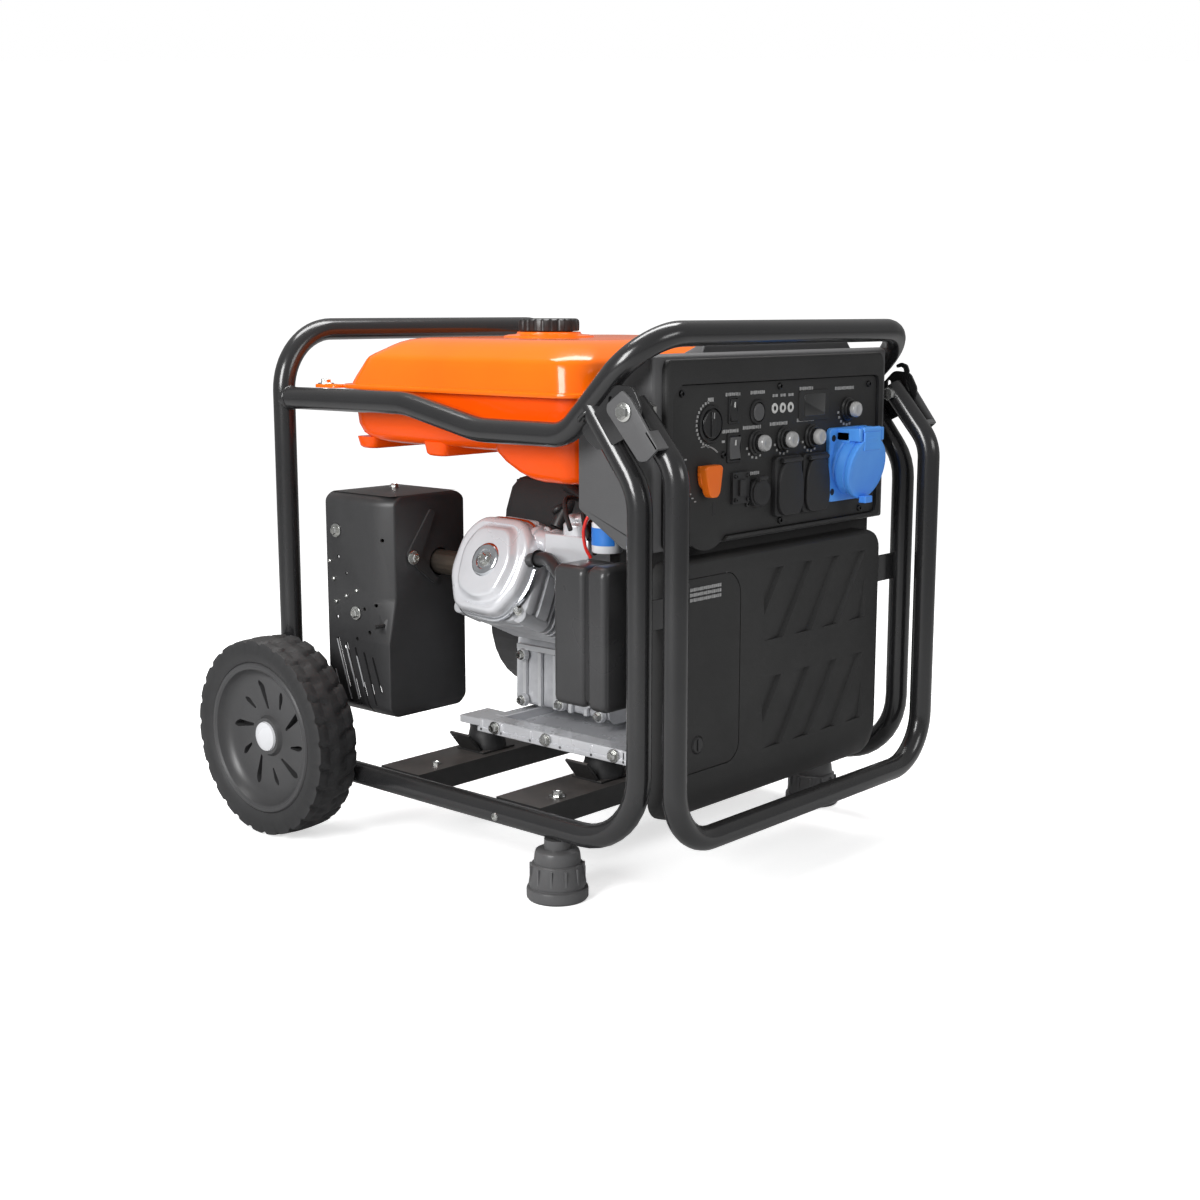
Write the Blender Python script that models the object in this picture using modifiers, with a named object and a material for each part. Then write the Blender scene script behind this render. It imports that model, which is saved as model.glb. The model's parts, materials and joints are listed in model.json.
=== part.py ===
"""Open-frame portable inverter generator: frame, wheels, engine, tank and control box.

Metres, +Z up. The control panel faces -Y, the engine side faces -X, the wheels are at +Y.
The origin is on the floor, in the middle of the plan outline.
"""
import math

import bmesh
import bpy
from mathutils import Matrix, Vector

MM = 0.001

# Frame
TUBE_R = 12.5
POST_X = 232.5
POST_FRONT_Y = -287.0
POST_REAR_Y = 247.0
RAIL_Z = 76.0
BEND_R = 75.0
LEAN_FOOT_Z = 426.0
HOOP_LOW_Z = 475.0
HOOP_REAR_Z = 497.0
HOOP_TURN_Y = -193.0
TOP_Z = 573.5
POST_TOP_Z = 500.0
COPE_R = 13.1
CROSS_Z = (62.0, 86.0)
FRONT_CROSS_Y = (-142.0, -77.0)
REAR_CROSS_Y = (45.0, 108.0)

# Wheels and feet
WHEEL_R = 114.0
RIM_R = 87.0
WHEEL_Y = 223.0
WHEEL_IN_X = 250.3
WHEEL_OUT_X = 306.0
AXLE_R = 8.0
FOOT_X = 228.0
FOOT_Y = -174.0
FOOT_TOP_Z = 63.0

# Pull handle
HANDLE_R = 12.3
HANDLE_X = 224.0
HANDLE_Y = -324.7
HANDLE_LOW_Z = 82.0
HANDLE_BEND_Z = 448.0
PIVOT_Y = -279.0
PIVOT_Z = 502.0
PIN_R = 5.0

# Fuel tank
TANK_X = 213.0
TANK_Y = (-186.0, 190.0)
TANK_SEAM_Z = (508.0, 516.0)
TANK_TOP_Z = 566.0
TANK_LOW_Z = 450.0
TANK_SUMP_Z = 421.0
CAP_X = -30.0
CAP_Y = 22.0
CAP_R = 35.0

# Engine
CRANK_X = 35.0
CRANK_Z = 230.0
CYL_Y = -15.0
CYL_TILT = math.radians(25.0)
BASE_Z = (118.0, 134.0)

# Control box
BOX_X = 204.0
BOX_FRONT_Y = -278.0
BOX_BACK_Y = -181.0
BOX_LOW_Z = 364.0
WALL = 3.0
PLATE_X = 180.0
PLATE_Z = (372.0, 524.0)
PLATE_Y = (-281.3, -278.3)
LOBE_X = -123.0
LOBE_Z = 402.0
LOBE_R = 43.0
COVER_X = 190.0
COVER_Y = (-287.0, -262.0)
COVER_Z = (88.0, 352.0)
DOOR_X = (-178.0, -73.0)
DOOR_Z = (136.0, 334.0)

PARTS = None
CUTTERS = None


# ---------------------------------------------------------------- basics
def clear_scene():
    for obj in list(bpy.data.objects):
        bpy.data.objects.remove(obj, do_unlink=True)


def make_collection(name):
    col = bpy.data.collections.new(name)
    bpy.context.scene.collection.children.link(col)
    return col


def vec(x, y, z):
    return Vector((x, y, z)) * MM


def link(obj, col):
    for old in list(obj.users_collection):
        old.objects.unlink(obj)
    col.objects.link(obj)


def finish(obj, name, colour, rough=0.5, metal=0.0):
    """Name a finished part, give it its own material and file it with the parts."""
    obj.name = name
    obj.data.name = name
    mat = bpy.data.materials.new(name)
    mat.use_nodes = True
    bsdf = mat.node_tree.nodes["Principled BSDF"]
    bsdf.inputs["Base Color"].default_value = (*colour, 1.0)
    bsdf.inputs["Roughness"].default_value = rough
    bsdf.inputs["Metallic"].default_value = metal
    obj.data.materials.clear()
    obj.data.materials.append(mat)
    link(obj, PARTS)
    return obj


def from_bmesh(bm, origin=(0, 0, 0)):
    """Turn world-space bmesh geometry into an object whose origin sits at the given point."""
    bmesh.ops.recalc_face_normals(bm, faces=bm.faces[:])
    mesh = bpy.data.meshes.new("shape")
    bm.to_mesh(mesh)
    bm.free()
    obj = bpy.data.objects.new("shape", mesh)
    PARTS.objects.link(obj)
    set_origin(obj, origin)
    return obj


def set_origin(obj, point):
    """Move the object's origin to a world point given in millimetres; the shape stays put."""
    place = vec(*point)
    obj.data.transform(Matrix.Translation(-place) @ obj.matrix_world)
    obj.matrix_world = Matrix.Translation(place)
    return obj


def smooth(obj, angle=40.0):
    obj.data.shade_smooth()
    obj.data.set_sharp_from_angle(angle=math.radians(angle))
    return obj


def bevel(obj, width, segments=2, angle=35.0):
    mod = obj.modifiers.new("Bevel", "BEVEL")
    mod.width = width * MM
    mod.segments = segments
    mod.limit_method = "ANGLE"
    mod.angle_limit = math.radians(angle)
    return obj


def boolean(obj, tool, operation="DIFFERENCE"):
    """Cut with, or join, a tool object that stays hidden among the cutters."""
    link(tool, CUTTERS)
    tool.name = "tool_" + operation.lower()
    tool.hide_render = True
    tool.display_type = "WIRE"
    mod = obj.modifiers.new(operation.title(), "BOOLEAN")
    mod.operation = operation
    mod.solver = "EXACT"
    mod.object = tool
    return obj


def settle(obj):
    """Write the evaluated shape back into the mesh and drop the modifiers."""
    bpy.context.view_layer.update()
    deps = bpy.context.evaluated_depsgraph_get()
    mesh = bpy.data.meshes.new_from_object(obj.evaluated_get(deps))
    used = [m.object for m in obj.modifiers if m.type == "BOOLEAN"]
    obj.modifiers.clear()
    obj.data = mesh
    for tool in used:
        bpy.data.objects.remove(tool, do_unlink=True)
    return obj


# ---------------------------------------------------------------- shapes
def box(x, y, z):
    """A box between pairs of world limits in millimetres."""
    bm = bmesh.new()
    bmesh.ops.create_cube(bm, size=1.0)
    size = Vector((x[1] - x[0], y[1] - y[0], z[1] - z[0])) * MM
    mid = vec((x[0] + x[1]) / 2, (y[0] + y[1]) / 2, (z[0] + z[1]) / 2)
    bmesh.ops.scale(bm, vec=size, verts=bm.verts[:])
    bmesh.ops.translate(bm, vec=mid, verts=bm.verts[:])
    return from_bmesh(bm, tuple(v / MM for v in mid))


def rod(start, end, r, sides=16, r_end=None):
    """A straight cylinder or cone between two world points in millimetres."""
    a, b = vec(*start), vec(*end)
    axis = b - a
    bm = bmesh.new()
    bmesh.ops.create_cone(bm, cap_ends=True, segments=sides, radius1=r * MM,
                          radius2=(r if r_end is None else r_end) * MM, depth=axis.length)
    turn = Vector((0, 0, 1)).rotation_difference(axis.normalized()).to_matrix().to_4x4()
    bmesh.ops.transform(bm, matrix=Matrix.Translation((a + b) / 2) @ turn, verts=bm.verts[:])
    return from_bmesh(bm, start)


def turned(profile, centre, axis="Z", sides=32):
    """A lathe shape: (radius, height) pairs from the top axis down the outside to the bottom."""
    mesh = bpy.data.meshes.new("profile")
    closed = profile[0][0] > 0.01
    verts = [(r * MM, 0.0, h * MM) for r, h in profile]
    edges = [(i, i + 1) for i in range(len(verts) - 1)]
    if closed:
        edges.append((len(verts) - 1, 0))
    mesh.from_pydata(verts, edges, [])
    obj = bpy.data.objects.new("turned", mesh)
    PARTS.objects.link(obj)
    mod = obj.modifiers.new("Screw", "SCREW")
    mod.steps = sides
    mod.render_steps = sides
    mod.use_merge_vertices = True
    mod.merge_threshold = 0.00001
    turns = {"Z": Matrix.Identity(4),
             "-Y": Matrix.Rotation(math.radians(90), 4, "X"),
             "-X": Matrix.Rotation(math.radians(-90), 4, "Y"),
             "X": Matrix.Rotation(math.radians(90), 4, "Y"),
             "Y": Matrix.Rotation(math.radians(-90), 4, "X")}
    obj.matrix_world = Matrix.Translation(vec(*centre)) @ turns[axis]
    return obj


def prism(outline, start, depth, plane="XZ"):
    """A flat outline in millimetres, given a thickness along the third axis from start."""
    curve = bpy.data.curves.new("outline", "CURVE")
    curve.dimensions = "2D"
    curve.fill_mode = "BOTH"
    curve.extrude = abs(depth) / 2 * MM
    line = curve.splines.new("POLY")
    line.points.add(len(outline) - 1)
    for point, (u, v) in zip(line.points, outline):
        point.co = (u * MM, v * MM, 0.0, 1.0)
    line.use_cyclic_u = True
    obj = bpy.data.objects.new("outline", curve)
    PARTS.objects.link(obj)
    mid = (start + depth / 2) * MM
    frames = {"XZ": Matrix(((1, 0, 0, 0), (0, 0, -1, mid), (0, 1, 0, 0), (0, 0, 0, 1))),
              "YZ": Matrix(((0, 0, 1, mid), (1, 0, 0, 0), (0, 1, 0, 0), (0, 0, 0, 1))),
              "XY": Matrix(((1, 0, 0, 0), (0, 1, 0, 0), (0, 0, 1, mid), (0, 0, 0, 1)))}
    obj.matrix_world = frames[plane]
    return as_mesh(obj)


def joined(objects):
    """Several closed shapes as one mesh object, for use as a single cutter."""
    bm = bmesh.new()
    for obj in objects:
        start = len(bm.verts)
        bm.from_mesh(obj.data)
        bmesh.ops.transform(bm, matrix=obj.matrix_world, verts=bm.verts[start:])
        bpy.data.objects.remove(obj, do_unlink=True)
    return from_bmesh(bm)


def as_mesh(obj, weld=0.00001):
    """Replace a curve object by a closed mesh object in the same place."""
    bpy.context.view_layer.update()
    deps = bpy.context.evaluated_depsgraph_get()
    mesh = bpy.data.meshes.new_from_object(obj.evaluated_get(deps))
    solid = bpy.data.objects.new("solid", mesh)
    solid.matrix_world = obj.matrix_world.copy()
    PARTS.objects.link(solid)
    bpy.data.objects.remove(obj, do_unlink=True)
    bm = bmesh.new()
    bm.from_mesh(mesh)
    bmesh.ops.remove_doubles(bm, verts=bm.verts[:], dist=weld)
    bmesh.ops.recalc_face_normals(bm, faces=bm.faces[:])
    bm.to_mesh(mesh)
    bm.free()
    return solid


def round_path(points, radii, steps=6):
    """Replace each inner corner of a path by an arc; radii holds one bend radius a corner."""
    pts = [Vector(p) for p in points]
    out = [pts[0]]
    for i in range(1, len(pts) - 1):
        back = (pts[i - 1] - pts[i]).normalized()
        ahead = (pts[i + 1] - pts[i]).normalized()
        bend = math.pi - back.angle(ahead)
        reach = radii[i - 1] * math.tan(bend / 2)
        centre = pts[i] + (back + ahead).normalized() * radii[i - 1] / math.cos(bend / 2)
        first = pts[i] + back * reach - centre
        last = pts[i] + ahead * reach - centre
        count = max(2, round(steps * bend / (math.pi / 2)))
        for k in range(count + 1):
            t = k / count
            weight_a = math.sin((1 - t) * bend) / math.sin(bend)
            weight_b = math.sin(t * bend) / math.sin(bend)
            out.append(centre + first * weight_a + last * weight_b)
    out.append(pts[-1])
    return out


def tube(path, r, resolution=4):
    """A solid bar along a path in millimetres, made from a bevelled curve."""
    curve = bpy.data.curves.new("tube", "CURVE")
    curve.dimensions = "3D"
    curve.bevel_depth = r * MM
    curve.bevel_resolution = resolution
    curve.use_fill_caps = True
    line = curve.splines.new("POLY")
    line.points.add(len(path) - 1)
    for point, co in zip(line.points, path):
        point.co = (co[0] * MM, co[1] * MM, co[2] * MM, 1.0)
    obj = bpy.data.objects.new("tube", curve)
    PARTS.objects.link(obj)
    return as_mesh(obj)


def arc(cx, cy, r, start, end, steps):
    """Points on an arc between two angles in degrees, both ends included."""
    turns = [math.radians(start + (end - start) * k / steps) for k in range(steps + 1)]
    return [(cx + r * math.cos(t), cy + r * math.sin(t)) for t in turns]


# ---------------------------------------------------------------- frame
def lean_point(s, t):
    """Point s along the handle's leaning end and t in front of it, seen from the side."""
    along = Vector((HANDLE_Y - PIVOT_Y, HANDLE_BEND_Z - PIVOT_Z)).normalized()
    front = Vector((along.y, -along.x))
    return (PIVOT_Y + s * along.x + t * front.x, PIVOT_Z + s * along.y + t * front.y)


def side_tube(side, name):
    """One side loop of the frame with its pivot plate, pivot bolt and cover bracket."""
    x = side * POST_X
    meet_y = HOOP_TURN_Y - 22.5
    meet_z = HOOP_LOW_Z + 22.5
    path = round_path([(x, meet_y, meet_z), (x, POST_FRONT_Y, LEAN_FOOT_Z),
                       (x, POST_FRONT_Y, RAIL_Z), (x, POST_REAR_Y, RAIL_Z),
                       (x, POST_REAR_Y, POST_TOP_Z)], [60, BEND_R, BEND_R])
    bar = tube(path, TUBE_R)
    reach = 60.0
    boolean(bar, rod((x, meet_y + reach, meet_z - reach), (x, meet_y - reach, meet_z + reach),
                     COPE_R, 24))
    plate = prism([(-228, 474), (-222, 483), (-252, 513), (-266, 528), (-288, 525),
                   (-297, 506), (-292, 490), (-279, 478), (-262, 470), (-243, 463)],
                  side * 240.3, side * 3.0, "YZ")
    boolean(bar, plate, "UNION")
    boolean(bar, rod((side * 206.5, PIVOT_Y, PIVOT_Z), (side * 250, PIVOT_Y, PIVOT_Z), PIN_R, 12),
            "UNION")
    boolean(bar, rod((side * 247.2, PIVOT_Y, PIVOT_Z), (side * 253, PIVOT_Y, PIVOT_Z), 9.0, 12),
            "UNION")
    boolean(bar, rod((side * 206.0, PIVOT_Y, PIVOT_Z), (side * 211.4, PIVOT_Y, PIVOT_Z), 8.0, 6),
            "UNION")
    lug_x = sorted((side * 190.4, side * 224.0))
    boolean(bar, box(lug_x, (-284, -272), (290, 320)), "UNION")
    settle(bar)
    return smooth(finish(bar, name, (0.022, 0.022, 0.023), 0.38))


def rear_hoop():
    path = round_path([(-POST_X, POST_REAR_Y, POST_TOP_Z + 0.3), (-POST_X, POST_REAR_Y, TOP_Z),
                       (POST_X, POST_REAR_Y, TOP_Z), (POST_X, POST_REAR_Y, POST_TOP_Z + 0.3)],
                      [70, 70], 7)
    return smooth(finish(tube(path, TUBE_R), "rear_hoop_tube", (0.022, 0.022, 0.023), 0.38))


def upper_hoop():
    """The tube that dips beside the tank and rises to the front top bar."""
    half = [(POST_REAR_Y, HOOP_REAR_Z), (40.0, 498.0), (-70.0, HOOP_LOW_Z),
            (HOOP_TURN_Y, HOOP_LOW_Z)]
    corner = (HOOP_TURN_Y - (TOP_Z - HOOP_LOW_Z), TOP_Z)
    left = [(-POST_X, y, z) for y, z in half + [corner]]
    right = [(POST_X, y, z) for y, z in reversed(half + [corner])]
    bar = tube(round_path(left + right, [120, 120, 45, 55, 55, 45, 120, 120], 6), TUBE_R)
    for side in (-1, 1):
        x = side * POST_X
        boolean(bar, rod((x, POST_REAR_Y, 460), (x, POST_REAR_Y, 540), COPE_R, 24))
    settle(bar)
    return smooth(finish(bar, "upper_hoop_tube", (0.022, 0.022, 0.023), 0.38))


def crossmember(y, name):
    x = POST_X - TUBE_R - 0.5
    bar = box((-x, x), y, CROSS_Z)
    boolean(bar, box((-x - 5, x + 5), (y[0] + 3, y[1] - 3), (CROSS_Z[0] - 9, CROSS_Z[1] - 3)))
    return finish(settle(bar), name, (0.03, 0.03, 0.03), 0.5)


# ---------------------------------------------------------------- wheels and feet
def axle(side, name):
    """Stub axle with its weld flange against the side tube and a retaining collar."""
    a = side * 245.3
    stub = rod((a, WHEEL_Y, WHEEL_R), (side * 292.6, WHEEL_Y, WHEEL_R), AXLE_R, 16)
    flange = prism([(206, 96), (240, 96), (246, 104), (246, 128), (238, 138), (208, 138),
                    (200, 128), (200, 104)], a, side * 4.2, "YZ")
    boolean(stub, flange, "UNION")
    boolean(stub, rod((side * 289.6, WHEEL_Y, WHEEL_R), (side * 292.6, WHEEL_Y, WHEEL_R), 12, 16),
            "UNION")
    settle(stub)
    return smooth(finish(stub, name, (0.5, 0.5, 0.5), 0.35, 0.9))


def tyre(side, name):
    half = (WHEEL_OUT_X - WHEEL_IN_X) / 2
    mid = side * (WHEEL_OUT_X + WHEEL_IN_X) / 2
    profile = [(RIM_R + 0.3, half - 3), (RIM_R + 6, half), (WHEEL_R - 9, half),
               (WHEEL_R - 2, half - 5), (WHEEL_R, half - 12), (WHEEL_R, -half + 12),
               (WHEEL_R - 2, -half + 5), (WHEEL_R - 9, -half), (RIM_R + 6, -half),
               (RIM_R + 0.3, -half + 3)]
    ring = turned(profile, (mid, WHEEL_Y, WHEEL_R), "X" if side > 0 else "-X", 32)
    return smooth(finish(settle(ring), name, (0.035, 0.035, 0.036), 0.8))


def rim(side, name):
    """Moulded rim: outer barrel, dished disc, hub boss and a closed outer hub cap."""
    half = (WHEEL_OUT_X - WHEEL_IN_X) / 2
    mid = side * (WHEEL_OUT_X + WHEEL_IN_X) / 2
    bore = AXLE_R + 0.5
    profile = [(0.0, 19.0), (17.0, 18.0), (20.0, 11.0), (60.0, 8.0), (80.0, 14.0),
               (82.0, half - 4), (RIM_R, half - 4), (RIM_R, -half + 4), (82.0, -half + 4),
               (80.0, -6.0), (22.0, -6.0), (20.0, -half), (bore, -half), (bore, 11.0),
               (13.0, 11.0), (13.0, 15.5), (0.0, 15.5)]
    disc = turned(profile, (mid, WHEEL_Y, WHEEL_R), "X" if side > 0 else "-X", 32)
    return smooth(finish(settle(disc), name, (0.05, 0.05, 0.052), 0.45))


def foot(side, name):
    profile = [(0.0, FOOT_TOP_Z), (14.0, FOOT_TOP_Z), (14.0, 51.0), (22.0, 50.0), (25.0, 37.0),
               (27.0, 35.0), (30.0, 13.0), (32.0, 10.0), (32.0, 2.0), (30.0, 0.0), (0.0, 0.0)]
    pad = turned(profile, (side * FOOT_X, FOOT_Y, 0.0), "Z", 20)
    return smooth(finish(settle(pad), name, (0.05, 0.05, 0.05), 0.6))


# ---------------------------------------------------------------- pull handle
def handle():
    """Folding U handle with its two pivot shoes welded on; its origin is on the pivot axis."""
    points = []
    for side in (-1, 1):
        top = lean_point(-13.0, 0.0)
        leg = [(side * HANDLE_X, *top), (side * HANDLE_X, HANDLE_Y, HANDLE_BEND_Z),
               (side * HANDLE_X, HANDLE_Y, HANDLE_LOW_Z)]
        points += leg if side < 0 else leg[::-1]
    bar = tube(round_path(points, [45, 58, 58, 45], 7), HANDLE_R)
    for side in (-1, 1):
        wall = [lean_point(*p) for p in ((-20, -12), (-14, -18), (46, -16), (52, -8), (52, 11),
                                         (-4, 15), (-18, 12))]
        boolean(bar, prism(wall, side * 243.6, side * 3.2, "YZ"), "UNION")
        start = 30 if side < 0 else 46
        lip = [lean_point(*p) for p in ((start, 7.4), (start, 10.9), (51.9, 10.9), (51.9, 7.4))]
        boolean(bar, prism(lip, side * 228.0, side * 18.7, "YZ"), "UNION")
    settle(bar)
    boolean(bar, rod((-270, PIVOT_Y, PIVOT_Z), (270, PIVOT_Y, PIVOT_Z), PIN_R + 0.5, 12))
    settle(bar)
    set_origin(bar, (0, PIVOT_Y, PIVOT_Z))
    return smooth(finish(bar, "handle_tube", (0.022, 0.022, 0.023), 0.38))


def handle_latch():
    """Hooked latch leaf on the right pivot bolt, inside the pivot plate."""
    hub = arc(PIVOT_Y, PIVOT_Z, 9.5, 130, 420, 12)
    hook = [(-278, 516.5), (-281.5, 525), (-280.5, 530), (-277, 531.5), (-271.5, 530),
            (-270.5, 533.5), (-277, 536.5), (-284.5, 534), (-287.5, 527), (-285, 518)]
    leaf = prism(hub + hook, 236.8, 3.2, "YZ")
    boolean(leaf, rod((230, PIVOT_Y, PIVOT_Z), (246, PIVOT_Y, PIVOT_Z), PIN_R + 0.5, 12))
    settle(leaf)
    set_origin(leaf, (238.4, PIVOT_Y, PIVOT_Z))
    return finish(leaf, "handle_latch", (0.03, 0.03, 0.03), 0.4, 0.3)


# ---------------------------------------------------------------- fuel tank
def fuel_tank():
    """Two pressed half shells on a seam flange, with a filler neck and rear mounting ears."""
    upper = settle(bevel(box((-TANK_X + 8, TANK_X - 8), (TANK_Y[0] + 8, TANK_Y[1] - 8),
                             (TANK_SEAM_Z[0], TANK_TOP_Z)), 24, 2, 60))
    lower = settle(bevel(box((-TANK_X + 10, TANK_X - 10), (TANK_Y[0] + 10, TANK_Y[1] - 10),
                             (TANK_LOW_Z, TANK_SEAM_Z[1])), 12, 2, 60))
    sump = settle(bevel(box((-TANK_X + 12, TANK_X - 12), (TANK_Y[0] + 11, -85),
                            (TANK_SUMP_Z, TANK_SEAM_Z[1] - 4)), 12, 2, 60))
    body = box((-TANK_X, TANK_X), TANK_Y, TANK_SEAM_Z)
    boolean(body, upper, "UNION")
    boolean(body, lower, "UNION")
    boolean(body, sump, "UNION")
    for side in (-1, 1):
        ear_x = sorted((side * 198, side * 217))
        boolean(body, box(ear_x, (180, 214), (508.5, 512.5)), "UNION")
    boolean(body, rod((CAP_X, CAP_Y, 555), (CAP_X, CAP_Y, 571), CAP_R + 1, 24), "UNION")
    boolean(body, rod((CAP_X, CAP_Y, 560), (CAP_X, CAP_Y, 580), 26, 24), "UNION")
    settle(body)
    hollow = settle(bevel(box((-TANK_X + 14, TANK_X - 14), (TANK_Y[0] + 14, TANK_Y[1] - 14),
                              (TANK_LOW_Z + 4, TANK_TOP_Z - 5)), 22, 1, 60))
    boolean(body, hollow)
    boolean(body, rod((CAP_X, CAP_Y, 540), (CAP_X, CAP_Y, 590), 22, 24))
    settle(body)
    return smooth(finish(body, "fuel_tank", (1.0, 0.18, 0.02), 0.25), 25)


def fuel_cap():
    profile = [(0.0, 586.0), (CAP_R - 3, 586.0), (CAP_R, 583.0), (CAP_R, 571.6),
               (26.6, 571.6), (26.6, 581.0), (0.0, 581.0)]
    cap = turned(profile, (CAP_X, CAP_Y, 0.0), "Z", 24)
    return smooth(finish(settle(cap), "fuel_cap", (0.03, 0.03, 0.03), 0.5))


# ---------------------------------------------------------------- engine
def bore_point(s, t=0.0):
    """Point s along the inclined cylinder axis and t above it, in the XZ plane."""
    return (CRANK_X - s * math.cos(CYL_TILT) + t * math.sin(CYL_TILT),
            CRANK_Z + s * math.sin(CYL_TILT) + t * math.cos(CYL_TILT))


def inclined(s, t, y):
    """A block along the cylinder axis, between pairs of limits."""
    outline = [bore_point(s[0], t[0]), bore_point(s[0], t[1]), bore_point(s[1], t[1]),
               bore_point(s[1], t[0])]
    return prism(outline, CYL_Y + y[1], y[0] - y[1], "XZ")


def crankcase():
    case = settle(bevel(box((-62, 118), (-100, 50), (BASE_Z[1] + 0.3, 316)), 26, 2, 60))
    boolean(case, rod((CRANK_X, -120, CRANK_Z), (CRANK_X, 70, CRANK_Z), 12.6, 16))
    boolean(case, inclined((104, 260), (-80, 130), (-90, 90)))
    settle(case)
    return smooth(finish(case, "crankcase", (0.55, 0.56, 0.57), 0.45, 0.8))


def cylinder():
    """Finned barrel: a core with five cooling fins."""
    core = inclined((104.5, 165), (-48, 48), (-48, 48))
    for k in range(4):
        s = 114 + 14 * k
        boolean(core, inclined((s, s + 4), (-56, 56), (-56, 56)), "UNION")
    return finish(settle(core), "cylinder", (0.55, 0.56, 0.57), 0.5, 0.8)


def cylinder_head():
    head = settle(bevel(inclined((165.4, 204), (-56, 56), (-58, 58)), 8, 2, 60))
    return smooth(finish(head, "cylinder_head", (0.6, 0.61, 0.62), 0.45, 0.8))


def head_cover():
    """Rocker cover: rounded lid with a raised centre boss."""
    cover = settle(bevel(inclined((204.4, 232), (-58, 58), (-60, 60)), 20, 3, 60))
    trim = inclined((195, 204.4), (-80, 80), (-80, 80))
    boolean(cover, trim)
    settle(cover)
    x0, z0 = bore_point(220)
    x1, z1 = bore_point(239)
    boolean(cover, rod((x0, CYL_Y, z0), (x1, CYL_Y, z1), 17, 16, 13), "UNION")
    settle(cover)
    return smooth(finish(cover, "head_cover", (0.66, 0.67, 0.68), 0.35, 0.85))


def spark_plug_cap():
    x, z = bore_point(180, 56.4)
    x1, z1 = bore_point(176, 100)
    cap = rod((x, CYL_Y - 44, z + 3), (x1, CYL_Y - 52, z1), 8, 12)
    return smooth(finish(cap, "spark_plug_cap", (0.02, 0.02, 0.02), 0.6))


def carburettor():
    body = box((-150, -112), (-150, -76), (330, 362))
    boolean(body, rod((-131, -134, 322), (-131, -134, 380), 14, 16), "UNION")
    settle(body)
    return smooth(finish(body, "carburettor", (0.6, 0.6, 0.6), 0.4, 0.8))


def airbox_body():
    body = settle(bevel(box((-216, -160), (-200, -157), (200, 344)), 8, 2))
    return smooth(finish(body, "airbox_body", (0.06, 0.06, 0.062), 0.55))


def airbox_cover():
    body = settle(bevel(box((-217, -160), (-229, -200.4), (198, 346)), 10, 2))
    return smooth(finish(body, "airbox_cover", (0.06, 0.06, 0.062), 0.55))


def breather_hose():
    ends = [(-158, -75.6, 336), (-158, -86, 337), (-166, -104, 338), (-177, -124, 334),
            (-186, -140, 326), (-188, -150, 324), (-188, -156.4, 324)]
    hose = tube(ends, 7, 3)
    boolean(hose, box((-210, -140), (-75.4, -60), (310, 350)))
    boolean(hose, box((-210, -160), (-170, -156.6), (300, 350)))
    settle(hose)
    return smooth(finish(hose, "breather_hose", (0.02, 0.02, 0.02), 0.6))


def engine_base():
    """Cast sole plate with two rear tabs that reach the rear mounts."""
    sole = box((-125, 125), (-186, 49), BASE_Z)
    for side in (-1, 1):
        tab = sorted((side * 62, side * 108))
        boolean(sole, box(tab, (40, 96), (BASE_Z[0], BASE_Z[0] + 9)), "UNION")
    return finish(settle(sole), "engine_base", (0.6, 0.6, 0.61), 0.5, 0.7)


def alternator_housing():
    """Round cup open towards the crankcase, with a shaft hole in its end."""
    profile = [(95.0, 92.0), (95.0, 0.0), (13.0, 0.0), (13.0, 5.0), (88.0, 5.0), (88.0, 92.0)]
    cup = turned(profile, (CRANK_X, -193.0, CRANK_Z), "Y", 32)
    return smooth(finish(settle(cup), "alternator_housing", (0.5, 0.5, 0.51), 0.5, 0.7))


def alternator_rotor():
    """Outer-rotor magnet drum on the shaft."""
    profile = [(78.0, -108.0), (78.0, -178.0), (12.4, -178.0), (12.4, -170.0), (68.0, -170.0),
               (68.0, -108.0)]
    drum = turned(profile, (CRANK_X, 0.0, CRANK_Z), "Y", 32)
    return smooth(finish(settle(drum), "alternator_rotor", (0.3, 0.3, 0.31), 0.4, 0.9))


def crankshaft():
    """Crankshaft with the cooling fan's disc at its rear end."""
    profile = [(0.0, 92.0), (16.0, 92.0), (16.0, 84.0), (70.0, 84.0), (70.0, 76.0), (12.0, 76.0),
               (12.0, -190.0), (0.0, -190.0)]
    shaft = turned(profile, (CRANK_X, 0.0, CRANK_Z), "Y", 24)
    return smooth(finish(settle(shaft), "crankshaft", (0.45, 0.45, 0.46), 0.3, 1.0))


def blower_shroud():
    """Fan shroud behind the crankcase, open towards it, with an air inlet ring."""
    profile = [(34.0, 106.0), (80.0, 106.0), (87.0, 98.0), (87.0, 50.4), (82.0, 50.4),
               (82.0, 97.0), (78.0, 101.0), (34.0, 101.0)]
    shell = turned(profile, (CRANK_X, 0.0, CRANK_Z), "Y", 32)
    return smooth(finish(settle(shell), "blower_shroud", (0.03, 0.03, 0.03), 0.45))


def oil_filler_cap():
    cap = rod((-62.4, -60, 172), (-82, -60, 172), 14, 12, 12)
    return smooth(finish(cap, "oil_filler_cap", (0.02, 0.02, 0.02), 0.5))


def muffler():
    can = settle(bevel(box((-206, -104), (106, 190), (166, 380)), 22, 2, 60))
    boolean(can, rod((-135, 43.8, 312), (-135, 120, 312), 14, 16), "UNION")
    boolean(can, rod((-150, 170, 220), (-150, 207, 220), 12, 16), "UNION")
    settle(can)
    return smooth(finish(can, "muffler", (0.25, 0.24, 0.23), 0.5, 0.8))


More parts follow.
